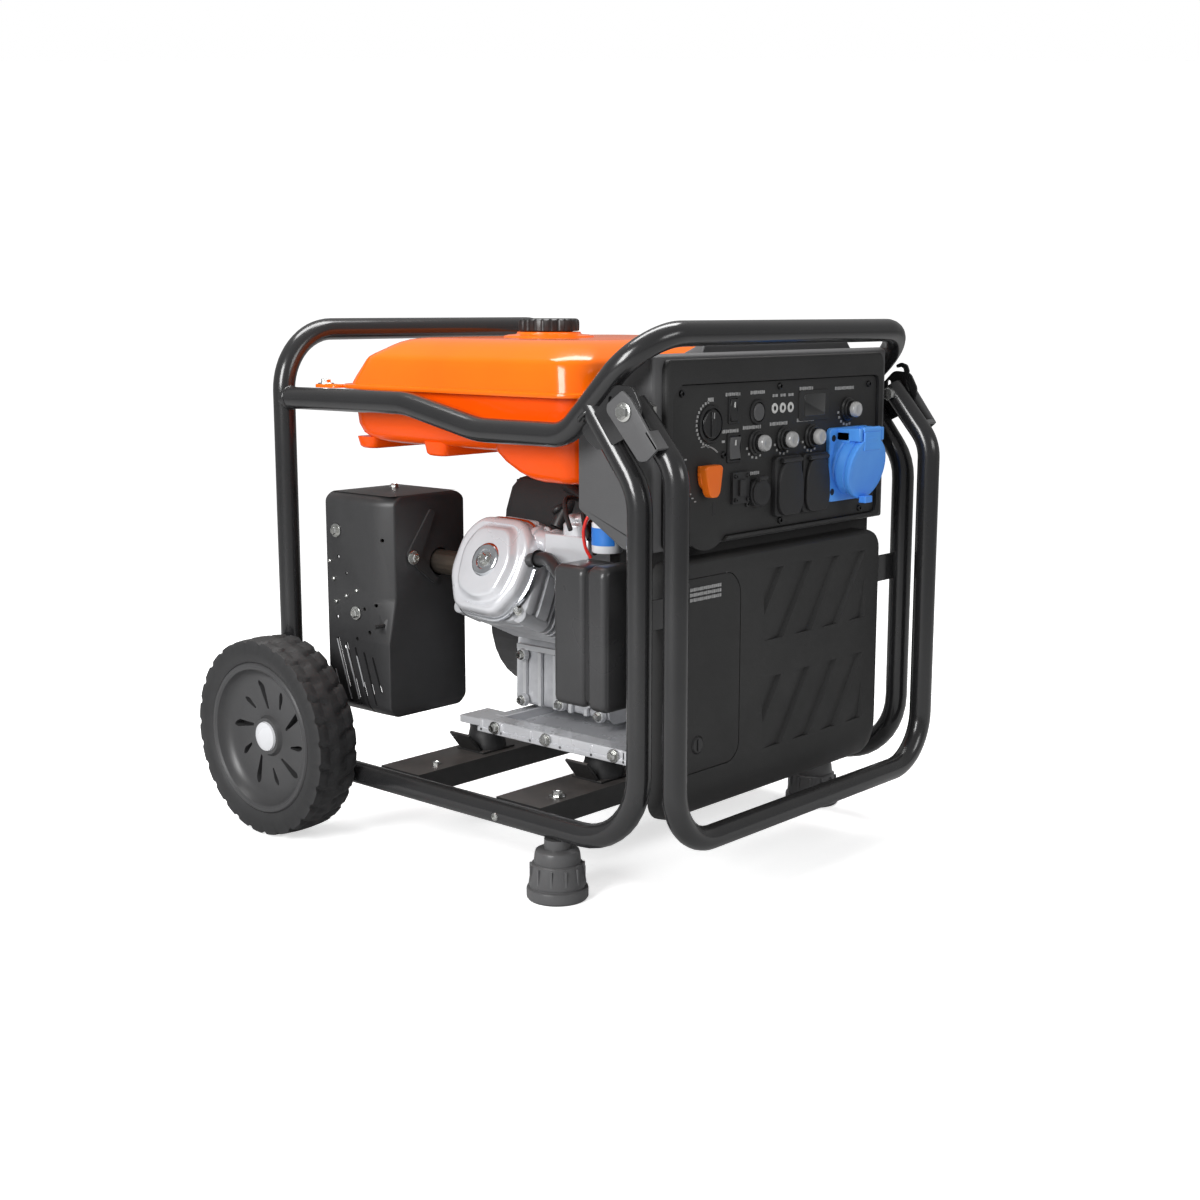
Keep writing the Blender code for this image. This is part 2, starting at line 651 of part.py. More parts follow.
def muffler_guard():
    """Sheet guard open at the back, with a pipe hole in front and a ridge on its lid."""
    outline = [(-216, 147), (-206, 139), (-106, 139), (-95, 147), (-95, 384), (-106, 392),
               (-160, 395), (-206, 392), (-216, 384)]
    shell = prism(outline, 96, 104, "XZ")
    inner = [(x + 2.5 * (1 if x < -155 else -1), z + 2.5 * (1 if z < 270 else -1))
             for x, z in outline]
    boolean(shell, prism(inner, 98.5, 110, "XZ"))
    boolean(shell, rod((-135, 80, 312), (-135, 110, 312), 16, 16))
    settle(shell)
    return finish(shell, "muffler_guard", (0.045, 0.045, 0.046), 0.45)


def rubber_mount(x, y, name):
    profile = [(0.0, 117.6), (17.0, 117.6), (19.0, 112.0), (24.0, 92.0), (24.0, 86.4),
               (0.0, 86.4)]
    pad = turned(profile, (x, y, 0.0), "Z", 16)
    return smooth(finish(settle(pad), name, (0.02, 0.02, 0.02), 0.7))


# ---------------------------------------------------------------- control box
BUTTONS = {"start_button": (-42, 493, 9.0, 284.6), "breaker_1": (-44, 462, 8.0, 297.0),
           "breaker_2": (4, 463, 8.0, 297.0), "breaker_3": (54, 463, 8.0, 297.0),
           "main_breaker": (122, 489, 8.0, 297.0)}
ROCKERS = {"rocker_switch": (-81, 459, 8.5, 11.0), "engine_switch": (-83, 497, 5.5, 11.0)}
FLAPS = {"schuko_flap_left": 8.0, "schuko_flap_right": 57.0}
DC_X = -43.0
DC_Z = 411.0
FLAP_Z = 413.0


def panel_holes():
    """One cutter for the button and rocker openings, shared by plate and housing."""
    tools = [rod((x, -300, z), (x, -268, z), r + 0.6, 16) for x, z, r, _ in BUTTONS.values()]
    for x, z, w, h in ROCKERS.values():
        tools.append(box((x - w - 0.6, x + w + 0.6), (-300, -268), (z - h - 1.2, z + h + 1.2)))
    return joined(tools)


def control_housing():
    """Control box shell with a sloping cowl on top, a front shelf and a skirt, open underneath."""
    side = [(BOX_FRONT_Y, BOX_LOW_Z), (-240, BOX_LOW_Z), (BOX_BACK_Y, 400), (BOX_BACK_Y, 490),
            (-192, 500), (-204, 511), (-250, 542), (-270, 555), (BOX_FRONT_Y, 551)]
    shell = prism(side, -BOX_X, 2 * BOX_X, "YZ")
    inner = [(BOX_FRONT_Y + WALL, BOX_LOW_Z - 20), (BOX_BACK_Y - WALL, BOX_LOW_Z - 20),
             (BOX_BACK_Y - WALL, 488), (-194.5, 497.5), (-206, 508), (-250, 538), (-269, 550.5),
             (BOX_FRONT_Y + WALL, 547)]
    boolean(shell, prism(inner, -BOX_X + WALL, 2 * (BOX_X - WALL), "YZ"))
    settle(shell)
    angle = [(-276, 364), (-261.5, 364), (-261.5, 338), (-258.5, 338), (-258.5, 367), (-276, 367)]
    boolean(shell, prism(angle, -BOX_X + 2, 2 * (BOX_X - 2), "YZ"), "UNION")
    settle(shell)
    boolean(shell, panel_holes())
    settle(shell)
    return smooth(finish(shell, "control_housing", (0.05, 0.05, 0.052), 0.5), 30)


def panel_plate():
    """Front panel with the lever's round lobe and the two socket bosses."""
    z0, z1 = PLATE_Z
    y0, depth = PLATE_Y[0], PLATE_Y[1] - PLATE_Y[0]
    dip = math.degrees(math.asin((LOBE_Z - z0 + 0.5) / LOBE_R))
    lobe = arc(LOBE_X, LOBE_Z, LOBE_R, 180 + dip, 360 - dip, 12)
    outline = [(-PLATE_X, z0 + 6), (-PLATE_X + 6, z0)] + lobe
    outline += [(PLATE_X - 6, z0), (PLATE_X, z0 + 6), (PLATE_X, z1 - 6), (PLATE_X - 6, z1),
                (-PLATE_X + 14, z1), (-PLATE_X, z1 - 14)]
    plate = prism(outline, y0, depth, "XZ")
    bosses = [settle(bevel(box((x - 23.5, x + 23.5), (-287.6, -279.5),
                               (FLAP_Z - 30, FLAP_Z + 33)), 3, 1, 60)) for x in FLAPS.values()]
    bosses.append(rod((DC_X, -279.5, DC_Z), (DC_X, -287.6, DC_Z), 14.5, 20))
    boolean(plate, joined(bosses), "UNION")
    settle(plate)
    wells = [rod((x, -295, FLAP_Z - 3), (x, -280.1, FLAP_Z - 3), 19, 20) for x in FLAPS.values()]
    wells.append(rod((DC_X, -295, DC_Z), (DC_X, -280.1, DC_Z), 10.5, 16))
    boolean(plate, joined(wells + [panel_holes()]))
    settle(plate)
    return smooth(finish(plate, "panel_plate", (0.04, 0.04, 0.04), 0.55), 30)


def push_button(name):
    x, z, r, front = BUTTONS[name]
    stem = settle(bevel(rod((x, -front, z), (x, -270.5, z), r, 16), 1.2, 1, 60))
    set_origin(stem, (x, -front, z))
    look = (0.02, 0.02, 0.02) if name == "start_button" else (0.25, 0.25, 0.25)
    return smooth(finish(stem, name, look, 0.35))


def rocker(name):
    """See-saw rocker: its axis runs across the panel, just behind the plate's face."""
    x, z, w, h = ROCKERS[name]
    outline = [(-284.5, z - h), (-282.6, z), (-284.5, z + h), (-277, z + h - 1.5), (-274, z + 4),
               (-274, z - 4), (-277, z - h + 1.5)]
    key = prism(outline, x - w, 2 * w, "YZ")
    set_origin(key, (x, -279.5, z))
    return finish(key, name, (0.02, 0.02, 0.02), 0.35)


def mode_dial():
    profile = [(0.0, 5.0), (15.0, 5.0), (17.0, 4.0), (18.0, 0.4), (0.0, 0.4)]
    dial = turned(profile, (-119, PLATE_Y[0], 484.5), "-Y", 24)
    return smooth(finish(settle(dial), "mode_dial", (0.03, 0.03, 0.03), 0.4))


def engine_lever():
    """Turning control lever: a hub with a tapered grip that points down at rest."""
    grip = prism([(-141, 442), (-138, 445), (-116, 445), (-113, 442), (-117, 418), (-121, 413),
                  (-131, 413), (-135, 418)], -294, 9, "XZ")
    bevel(grip, 2, 1, 60)
    settle(grip)
    boolean(grip, rod((-127, PLATE_Y[0] - 0.4, 432), (-127, -290, 432), 12, 20), "UNION")
    settle(grip)
    set_origin(grip, (-127, PLATE_Y[0] - 0.4, 432))
    return smooth(finish(grip, "engine_lever", (1.0, 0.16, 0.02), 0.4))


def schuko_flap(name):
    """Sprung lid over a socket, hinged along its top edge."""
    x = FLAPS[name]
    lid = box((x - 22, x + 22), (-291.5, -288.0), (FLAP_Z - 29, FLAP_Z + 27))
    settle(bevel(lid, 6, 2, 60))
    trim = box((x - 30, x + 30), (-288.0, -280), (FLAP_Z - 40, FLAP_Z + 40))
    boolean(lid, trim)
    boolean(lid, rod((x - 17, -290.6, FLAP_Z + 28.5), (x + 17, -290.6, FLAP_Z + 28.5), 2.6, 12),
            "UNION")
    settle(lid)
    set_origin(lid, (x, -290.6, FLAP_Z + 28.5))
    return finish(lid, name, (0.04, 0.04, 0.04), 0.5)


def cee_socket():
    """Blue appliance socket: square flange, round barrel leaning down, hinge ears on top."""
    flange = settle(bevel(box((83, 159), (-286.6, -276), (390, 470)), 5, 1, 60))
    boolean(flange, rod((121, -278, 433), (121, -303, 428), 34, 24, 33), "UNION")
    settle(flange)
    boolean(flange, box((70, 175), (-281.7, -260), (375, 485)))
    settle(flange)
    boolean(flange, rod((121, -290, 430.5), (121, -320, 424.5), 28, 24))
    settle(flange)
    return smooth(finish(flange, "cee_socket", (0.06, 0.25, 0.75), 0.35))


def cee_lid():
    """Hinged blue lid: a shallow cap over the barrel's mouth with a hinge barrel on top."""
    lid = rod((121, -303.5, 427.8), (121, -311.2, 426.3), 35, 24, 34)
    ear = box((105, 137), (-317.0, -311.8), (446, 467))
    boolean(lid, ear, "UNION")
    boolean(lid, rod((103, -313.5, 468), (139, -313.5, 468), 3.2, 12), "UNION")
    settle(lid)
    set_origin(lid, (121, -313.5, 468))
    return smooth(finish(lid, "cee_lid", (0.07, 0.28, 0.8), 0.35))


def dc_flap():
    lid = rod((DC_X, -288.0, DC_Z), (DC_X, -291.5, DC_Z), 14, 20)
    boolean(lid, rod((DC_X - 7, -290.4, 426), (DC_X + 7, -290.4, 426), 2.3, 10), "UNION")
    boolean(lid, box((DC_X - 6, DC_X + 6), (-291.2, -288.4), (418, 426)), "UNION")
    settle(lid)
    set_origin(lid, (DC_X, -290.4, 426))
    return smooth(finish(lid, "dc_flap", (0.03, 0.03, 0.03), 0.5))


def front_cover():
    """Lower front cover: a shallow tray open at the back, with the battery door's opening."""
    z0, z1 = COVER_Z
    tray = settle(bevel(box((-COVER_X, COVER_X), COVER_Y, COVER_Z), 5, 1, 60))
    boolean(tray, box((-COVER_X + WALL, COVER_X - WALL), (COVER_Y[0] + WALL, COVER_Y[1] + 20),
                      (z0 + WALL, z1 - WALL)))
    boolean(tray, prism(door_outline(0.6), -300, 30, "XZ"))
    settle(tray)
    return smooth(finish(tray, "front_cover", (0.04, 0.04, 0.04), 0.6), 30)


def door_outline(grow=0.0):
    x0, x1 = DOOR_X[0] - grow, DOOR_X[1] + grow
    z0, z1 = DOOR_Z[0] - grow, DOOR_Z[1] + grow
    return [(x0 + 8, z0), (x1 - 12, z0), (x1, z0 + 12), (x1, z1 - 16), (x1 - 14, z1),
            (x0 + 8, z1), (x0, z1 - 8), (x0, z0 + 8)]


def battery_door():
    leaf = prism(door_outline(), -287.0, 2.7, "XZ")
    boolean(leaf, rod((-142, -300, 164), (-142, -270, 164), 9.5, 16))
    settle(leaf)
    set_origin(leaf, (DOOR_X[1], -287.0, (DOOR_Z[0] + DOOR_Z[1]) / 2))
    return finish(leaf, "battery_door", (0.04, 0.04, 0.04), 0.6)


def door_latch():
    """Quarter-turn fastener carried by the battery door."""
    profile = [(0.0, 1.6), (7.0, 1.6), (9.0, 0.0), (9.0, -3.0), (0.0, -3.0)]
    knob = turned(profile, (-142, -287.0, 164), "-Y", 20)
    return smooth(finish(settle(knob), "door_latch", (0.02, 0.02, 0.02), 0.45))


def battery():
    block = settle(bevel(box((-155, -18), (-281, -205), (104, 236)), 3, 1, 60))
    for x in (-140, -33):
        boolean(block, box((x - 6, x + 6), (-262, -250), (230, 244)), "UNION")
    settle(block)
    return finish(block, "battery", (0.03, 0.03, 0.04), 0.45)


def inverter_module():
    """Finned heat-sink block of the inverter electronics, behind the louvres."""
    block = box((-8, 180), (-281, -205), (108, 335))
    fins = [box((x, x + 9), (-290, -262), (118, 325)) for x in range(4, 170, 22)]
    for gap in fins:
        boolean(block, gap)
    settle(block)
    return finish(block, "inverter_module", (0.35, 0.36, 0.37), 0.45, 0.8)


# ---------------------------------------------------------------- assembly
def build():
    global PARTS, CUTTERS
    clear_scene()
    PARTS = make_collection("portable_generator")
    CUTTERS = make_collection("cutters")
    for side, word in ((-1, "left"), (1, "right")):
        side_tube(side, word + "_side_tube")
        axle(side, word + "_axle")
        tyre(side, word + "_tyre")
        rim(side, word + "_rim")
        foot(side, word + "_foot")
    rear_hoop()
    upper_hoop()
    crossmember(FRONT_CROSS_Y, "front_crossmember")
    crossmember(REAR_CROSS_Y, "rear_crossmember")
    handle()
    handle_latch()
    fuel_tank()
    fuel_cap()
    for make in (crankcase, cylinder, cylinder_head, head_cover, spark_plug_cap, carburettor,
                 airbox_body, airbox_cover, breather_hose, engine_base, alternator_housing,
                 alternator_rotor, crankshaft, blower_shroud, oil_filler_cap, muffler,
                 muffler_guard, control_housing, panel_plate, mode_dial, engine_lever,
                 cee_socket, cee_lid, dc_flap, front_cover, battery_door, door_latch, battery,
                 inverter_module):
        make()
    rubber_mount(-85, -108, "mount_front_left")
    rubber_mount(85, -108, "mount_front_right")
    rubber_mount(-85, 76, "mount_rear_left")
    rubber_mount(85, 76, "mount_rear_right")
    for name in BUTTONS:
        push_button(name)
    for name in ROCKERS:
        rocker(name)
    for name in FLAPS:
        schuko_flap(name)


build()
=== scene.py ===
# %% [markdown]
# # A portable inverter generator
# The steel frame, engine, tank and control box were already measured and packed
# as a model that moves. This lesson loads that model and builds the fine
# shapes and finishes around it. Every length below is in millimetres and is
# turned into Blender's metres in one place.

# %% Load the measured frame
import json
import math

import bmesh
import bpy
from mathutils import Matrix, Vector

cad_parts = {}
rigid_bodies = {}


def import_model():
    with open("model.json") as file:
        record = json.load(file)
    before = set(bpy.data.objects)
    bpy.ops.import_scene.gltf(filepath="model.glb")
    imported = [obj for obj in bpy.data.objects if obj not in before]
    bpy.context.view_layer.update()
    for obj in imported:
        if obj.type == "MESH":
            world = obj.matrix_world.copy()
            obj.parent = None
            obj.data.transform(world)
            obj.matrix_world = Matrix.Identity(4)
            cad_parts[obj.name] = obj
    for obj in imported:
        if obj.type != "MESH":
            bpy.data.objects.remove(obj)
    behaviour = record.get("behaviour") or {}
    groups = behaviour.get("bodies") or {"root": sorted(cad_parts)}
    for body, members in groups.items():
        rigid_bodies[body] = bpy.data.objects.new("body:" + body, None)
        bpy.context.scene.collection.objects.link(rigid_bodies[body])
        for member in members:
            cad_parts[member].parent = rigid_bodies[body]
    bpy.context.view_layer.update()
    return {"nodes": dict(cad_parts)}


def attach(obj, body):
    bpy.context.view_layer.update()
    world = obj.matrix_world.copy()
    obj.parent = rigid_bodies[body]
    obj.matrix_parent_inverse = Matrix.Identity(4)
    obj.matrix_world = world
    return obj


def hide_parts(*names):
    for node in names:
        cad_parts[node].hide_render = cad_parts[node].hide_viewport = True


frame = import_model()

MM = 0.001
SIDES = ((-1, "left"), (1, "right"))

# %% [markdown]
# ## Camera
# A product picture is taken from a customer's eye height, a step to one side, so
# that two faces show. A long lens keeps the upright posts nearly parallel.

# %% Camera
camera = bpy.data.objects.new("camera", bpy.data.cameras.new("camera"))
bpy.context.scene.collection.objects.link(camera)
camera.location = (-1.42491, -1.30249, 0.59665)
camera.rotation_euler = (math.radians(80.12), 0.0, math.radians(-48.25))
camera.data.sensor_width = 36.0
camera.data.lens = 50.162
camera.data.shift_x = -0.001
bpy.context.scene.camera = camera
print("lens", round(camera.data.lens, 2), "mm")

# %% [markdown]
# ## Shape helpers
# Every piece below is made by one of a few small functions: skin a stack of rings,
# turn a profile like a lathe, press a flat outline, or bend a round bar. The last
# steps are the same for all: metres, outward faces, a finish and a body to ride on.

# %% Shape helpers
def shown(name, data):
    """Link an object made from a mesh or a curve and return it."""
    obj = bpy.data.objects.new(name, data)
    bpy.context.scene.collection.objects.link(obj)
    return obj


def from_bmesh(name, bm, angle=35.0):
    """Finish a bmesh: outward normals, metres, and smooth faces with sharp edges kept."""
    bmesh.ops.recalc_face_normals(bm, faces=bm.faces[:])
    bmesh.ops.scale(bm, vec=(MM, MM, MM), verts=bm.verts[:])
    mesh = bpy.data.meshes.new(name)
    bm.to_mesh(mesh)
    bm.free()
    mesh.shade_smooth()
    mesh.set_sharp_from_angle(angle=math.radians(angle))
    return shown(name, mesh)


def soften(obj, width, segments=3, angle=40.0):
    """Round the edges of a piece, as a mould or a press would."""
    mod = obj.modifiers.new("Bevel", "BEVEL")
    mod.width = width * MM
    mod.segments = segments
    mod.limit_method = "ANGLE"
    mod.angle_limit = math.radians(angle)
    mod.harden_normals = False
    return obj


def bake_shape(obj, angle=35.0):
    """Write the modifiers into the mesh, so the piece is plain geometry."""
    bpy.context.view_layer.update()
    deps = bpy.context.evaluated_depsgraph_get()
    mesh = bpy.data.meshes.new_from_object(obj.evaluated_get(deps))
    tools = [m.object for m in obj.modifiers if m.type == "BOOLEAN"]
    obj.modifiers.clear()
    obj.data = mesh
    for tool in tools:
        bpy.data.objects.remove(tool, do_unlink=True)
    mesh.shade_smooth()
    mesh.set_sharp_from_angle(angle=math.radians(angle))
    return obj


def cut(obj, tool):
    """Take a tool's shape out of a piece; bake_shape makes the cut real."""
    tool.hide_render = True
    mod = obj.modifiers.new("Cut", "BOOLEAN")
    mod.operation = "DIFFERENCE"
    mod.solver = "EXACT"
    mod.object = tool
    return obj


print("edge, cut and bake helpers ready")

# %% [markdown]
# ## Finish and body
# A piece is settled when it has its finish, the body it rides on and, if it takes over
# from measured nodes, their names.

# %% Settling a piece
def settle(obj, finish, body="frame", replaces=()):
    """Give a piece its finish and say which body it moves with."""
    obj.data.materials.clear()
    obj.data.materials.append(finish)
    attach(obj, body)
    if replaces:
        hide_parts(*replaces)
    return obj


def repaint(finish, *names):
    """Measured nodes that stay as they are only get a better finish."""
    for name in names:
        frame["nodes"][name].data.materials.clear()
        frame["nodes"][name].data.materials.append(finish)


# %% [markdown]
# ## Outlines and rings
# A ring is a list of points. Flat outlines are drawn in two numbers, rounded, grown
# or shrunk, and lifted into one of the three planes; a stack of them makes a skin.

# %% Outlines and lofts
def loft(bm, rings):
    """Skin a stack of rings that all have the same number of points."""
    rows = [[bm.verts.new(p) for p in ring] for ring in rings]
    count = len(rows[0])
    for low, high in zip(rows, rows[1:]):
        for i in range(count):
            j = (i + 1) % count
            bm.faces.new((low[i], low[j], high[j], high[i]))
    bm.faces.new(rows[0][::-1])
    bm.faces.new(rows[-1])


def rounded_rect(u0, u1, v0, v1, r, steps=6):
    """Points round a rectangle whose corners are quarter circles."""
    points = []
    for cu, cv, start in ((u1 - r, v1 - r, 0), (u0 + r, v1 - r, 90),
                          (u0 + r, v0 + r, 180), (u1 - r, v0 + r, 270)):
        for k in range(steps + 1):
            t = math.radians(start + 90 * k / steps)
            points.append((cu + r * math.cos(t), cv + r * math.sin(t)))
    return points


def soft_corners(outline, r, steps=5):
    """Round every corner of a flat outline with a small arc."""
    out = []
    count = len(outline)
    for i in range(count):
        here = Vector(outline[i])
        back = (Vector(outline[i - 1]) - here)
        ahead = (Vector(outline[(i + 1) % count]) - here)
        reach = min(r, back.length * 0.45, ahead.length * 0.45)
        a = here + back.normalized() * reach
        b = here + ahead.normalized() * reach
        for k in range(steps + 1):
            t = k / steps
            out.append(tuple(a * (1 - t) ** 2 + here * 2 * t * (1 - t) + b * t ** 2))
    return out


def lift(outline, level, plane):
    """Put a flat outline into space; its third coordinate is its level."""
    places = {"XY": lambda u, v: (u, v, level), "XZ": lambda u, v: (u, level, v),
              "YZ": lambda u, v: (level, u, v)}
    return [places[plane](u, v) for u, v in outline]


def grow(outline, amount):
    """Move an outline outward (or inward, if negative) along its corner normals."""
    count = len(outline)
    area = sum(outline[i - 1][0] * outline[i][1] - outline[i][0] * outline[i - 1][1]
               for i in range(count))
    turn = 1.0 if area > 0 else -1.0
    out = []
    for i in range(count):
        tangent = Vector(outline[(i + 1) % count]) - Vector(outline[i - 1])
        normal = Vector((tangent.y, -tangent.x)).normalized() * turn
        out.append((outline[i][0] + normal.x * amount, outline[i][1] + normal.y * amount))
    return out


def pillow(name, outline, plane, start, end, edge=1.5, steps=3):
    """A flat outline with thickness, whose front edge at `end` is rounded over."""
    bm = bmesh.new()
    sign = 1.0 if end > start else -1.0
    rings = [lift(outline, start, plane)]
    for k in range(steps + 1):
        t = math.pi / 2 * k / steps
        rings.append(lift(grow(outline, -edge * (1 - math.cos(t))),
                          end - sign * edge * (1 - math.sin(t)), plane))
    loft(bm, rings)
    return from_bmesh(name, bm)


print("a rounded square has", len(rounded_rect(0, 10, 0, 10, 2)), "points")

# %% [markdown]
# ## Turned shapes
# Caps, bosses, feet and wheels are profiles turned about an axis. A profile point at
# radius zero closes the shape with a fan of triangles.

# %% Lathe and block
def axis_turn(axis):
    """Rotation that takes +Z to the named axis."""
    target = {"X": (1, 0, 0), "-X": (-1, 0, 0), "Y": (0, 1, 0), "-Y": (0, -1, 0),
              "Z": (0, 0, 1), "-Z": (0, 0, -1)}.get(axis, axis)
    return Vector((0, 0, 1)).rotation_difference(Vector(target).normalized()).to_matrix().to_4x4()


def spin(bm, profile, centre, axis="Z", sides=48):
    """Turn a profile of (radius, height) pairs about an axis, like a lathe."""
    place = Matrix.Translation(Vector(centre)) @ axis_turn(axis)
    rows = []
    for r, h in profile:
        if r < 0.01:
            rows.append([bm.verts.new(place @ Vector((0, 0, h)))])
            continue
        turns = [math.tau * k / sides for k in range(sides)]
        rows.append([bm.verts.new(place @ Vector((r * math.cos(t), r * math.sin(t), h)))
                     for t in turns])
    for low, high in zip(rows, rows[1:]):
        for i in range(sides):
            j = (i + 1) % sides
            if len(low) == 1 and len(high) == 1:
                continue
            if len(low) == 1:
                bm.faces.new((low[0], high[j], high[i]))
            elif len(high) == 1:
                bm.faces.new((low[i], low[j], high[0]))
            else:
                bm.faces.new((low[i], low[j], high[j], high[i]))
    return rows


def lathe(name, profile, centre, axis="Z", sides=48, angle=35.0):
    """A turned piece of its own; a profile that is a ring gets closed on itself."""
    bm = bmesh.new()
    rows = spin(bm, profile, centre, axis, sides)
    if profile[0][0] > 0.01 and profile[-1][0] > 0.01:
        for i in range(sides):
            j = (i + 1) % sides
            bm.faces.new((rows[-1][i], rows[-1][j], rows[0][j], rows[0][i]))
    return from_bmesh(name, bm, angle)


def block(bm, lo, hi, matrix=None):
    """Add a box between two corners, optionally turned by a matrix."""
    made = bmesh.ops.create_cube(bm, size=1.0)["verts"]
    size = Vector(hi) - Vector(lo)
    bmesh.ops.scale(bm, vec=size, verts=made)
    bmesh.ops.translate(bm, vec=(Vector(hi) + Vector(lo)) / 2, verts=made)
    if matrix is not None:
        bmesh.ops.transform(bm, matrix=matrix, verts=made)
    return made


print("up turned to -X points along", tuple(round(c) for c in axis_turn("-X") @ Vector((0, 0, 1))))

# %% [markdown]
# ## Bars, hoses and bolts
# A tube bender makes straight runs joined by arcs; a hose just flows through its
# points. Both become a curve with a round section. Bolt heads are turned shapes.

# %% Bars and fasteners
def bend_path(points, radii, steps=10):
    """Replace each corner of a path by an arc of the given bend radius."""
    pts = [Vector(p) for p in points]
    out = [pts[0]]
    for i in range(1, len(pts) - 1):
        back = (pts[i - 1] - pts[i]).normalized()
        ahead = (pts[i + 1] - pts[i]).normalized()
        bend = math.pi - back.angle(ahead)
        centre = pts[i] + (back + ahead).normalized() * radii[i - 1] / math.cos(bend / 2)
        reach = radii[i - 1] * math.tan(bend / 2)
        first = pts[i] + back * reach - centre
        last = pts[i] + ahead * reach - centre
        count = max(3, round(steps * bend / (math.pi / 2)))
        for k in range(count + 1):
            t = k / count
            out.append(centre + first * (math.sin((1 - t) * bend) / math.sin(bend))
                       + last * (math.sin(t * bend) / math.sin(bend)))
    out.append(pts[-1])
    return out


def pipe(name, path, r, fine=6):
    """A round bar along a path: a curve with a bevel, its ends filled."""
    curve = bpy.data.curves.new(name, "CURVE")
    curve.dimensions = "3D"
    curve.bevel_depth = r * MM
    curve.bevel_resolution = fine
    curve.use_fill_caps = True
    line = curve.splines.new("POLY")
    line.points.add(len(path) - 1)
    for point, co in zip(line.points, path):
        point.co = (co[0] * MM, co[1] * MM, co[2] * MM, 1.0)
    line.use_smooth = True
    return shown(name, curve)


def flowing(points):
    """A smooth curve through points, for hoses and wires."""
    per = 8
    pts = [Vector(p) for p in points]
    ends = [pts[0] * 2 - pts[1]] + pts + [pts[-1] * 2 - pts[-2]]
    out = []
    for a, b, c, d in zip(ends, ends[1:], ends[2:], ends[3:]):
        for k in range(per):
            t = k / per
            out.append(0.5 * ((2 * b) + (c - a) * t + (2 * a - 5 * b + 4 * c - d) * t * t
                              + (3 * b - a - 3 * c + d) * t ** 3))
    out.append(pts[-1])
    return out


def hex_bolt(bm, at, axis, across=10.0, high=5.0, washer=0.0):
    """A bolt head with a chamfered crown, on an optional round washer."""
    r = across / 2 / math.cos(math.pi / 6)
    base = 0.0
    if washer:
        spin(bm, [(0, 0), (washer, 0), (washer, 1.0), (washer - 0.4, 1.4), (0, 1.4)],
             at, axis, 24)
        base = 1.2
    spin(bm, [(0, base), (r, base), (r, base + high - 1.0), (r - 1.0, base + high),
              (r * 0.55, base + high), (r * 0.5, base + high - 0.5), (0, base + high - 0.5)],
         at, axis, 6)


def screw_head(bm, at, axis, r=4.0):
    """A domed screw with a hexagon socket."""
    spin(bm, [(0, 0), (r, 0), (r, 1.0), (r * 0.86, 2.0), (r * 0.5, 2.6), (r * 0.5, 1.2),
              (0, 1.2)], at, axis, 18)


print("an elbow takes", len(bend_path([(0, 0, 0), (9, 0, 0), (9, 9, 0)], [3])), "points")

# %% [markdown]
# ## Shared effects for the finishes
# Several finishes share a few effects: a tone that drifts over the surface, a fine
# grain and dust that settles on what faces up, which are small faults of real things, and
# paler outward edges, which are a painted highlight. Each is a node group, built once, with
# named sockets, and each material places it with its own values. A texture image could do
# this too, but it would need unwrapping and would not scale; noise in object space does.

# %% Node helpers
def new_group(name, inputs, outputs):
    """Start a node group with named sockets and return its two end nodes."""
    group = bpy.data.node_groups.new(name, "ShaderNodeTree")
    for label, kind, value in inputs:
        socket = group.interface.new_socket(label, in_out="INPUT", socket_type=kind)
        socket.default_value = value
    for label, kind in outputs:
        group.interface.new_socket(label, in_out="OUTPUT", socket_type=kind)
    return group, group.nodes.new("NodeGroupInput"), group.nodes.new("NodeGroupOutput")


def wire(tree, pairs):
    """Join sockets, pair by pair."""
    for source, target in pairs:
        tree.links.new(source, target)


def math_node(tree, operation, a, b, clamp=False):
    """One sum; each value may be typed in or come from a socket."""
    node = tree.nodes.new("ShaderNodeMath")
    node.operation = operation
    node.use_clamp = clamp
    for socket, value in zip(node.inputs, (a, b)):
        if isinstance(value, (int, float)):
            socket.default_value = value
        else:
            tree.links.new(value, socket)
    return node.outputs[0]


def blend_colour(tree, mask, low, high):
    """Mix two colours by a mask; each value may be typed in or come from a socket."""
    node = tree.nodes.new("ShaderNodeMix")
    node.data_type = "RGBA"
    for socket, value in ((node.inputs[0], mask), (node.inputs[6], low), (node.inputs[7], high)):
        if isinstance(value, (int, float)):
            socket.default_value = value
        elif isinstance(value, (tuple, list)):
            socket.default_value = (*value[:3], 1.0)
        else:
            tree.links.new(value, socket)
    return node.outputs[2]


print("node helpers ready")

# %% [markdown]
# ## Drifting tone
# Large soft noise blends two near colours, because no coat of paint is one colour.

# %% Effect: drifting tone
drift, g_in, g_out = new_group(
    "drifting_tone",
    [("Colour A", "NodeSocketColor", (0.5, 0.5, 0.5, 1)),
     ("Colour B", "NodeSocketColor", (0.4, 0.4, 0.4, 1)),
     ("Size", "NodeSocketFloat", 9.0)],
    [("Colour", "NodeSocketColor"), ("Mask", "NodeSocketFloat")])
coords = drift.nodes.new("ShaderNodeTexCoord")
cloud = drift.nodes.new("ShaderNodeTexNoise")
cloud.inputs["Detail"].default_value = 4.0
cloud.inputs["Roughness"].default_value = 0.55
ramp = drift.nodes.new("ShaderNodeMapRange")
ramp.inputs["From Min"].default_value = 0.35
ramp.inputs["From Max"].default_value = 0.68
wire(drift, [(coords.outputs["Object"], cloud.inputs["Vector"]),
             (g_in.outputs["Size"], cloud.inputs["Scale"]),
             (cloud.outputs["Fac"], ramp.inputs["Value"]),
             (ramp.outputs["Result"], g_out.inputs["Mask"])])
wire(drift, [(blend_colour(drift, ramp.outputs["Result"], g_in.outputs["Colour A"],
                           g_in.outputs["Colour B"]), g_out.inputs["Colour"])])
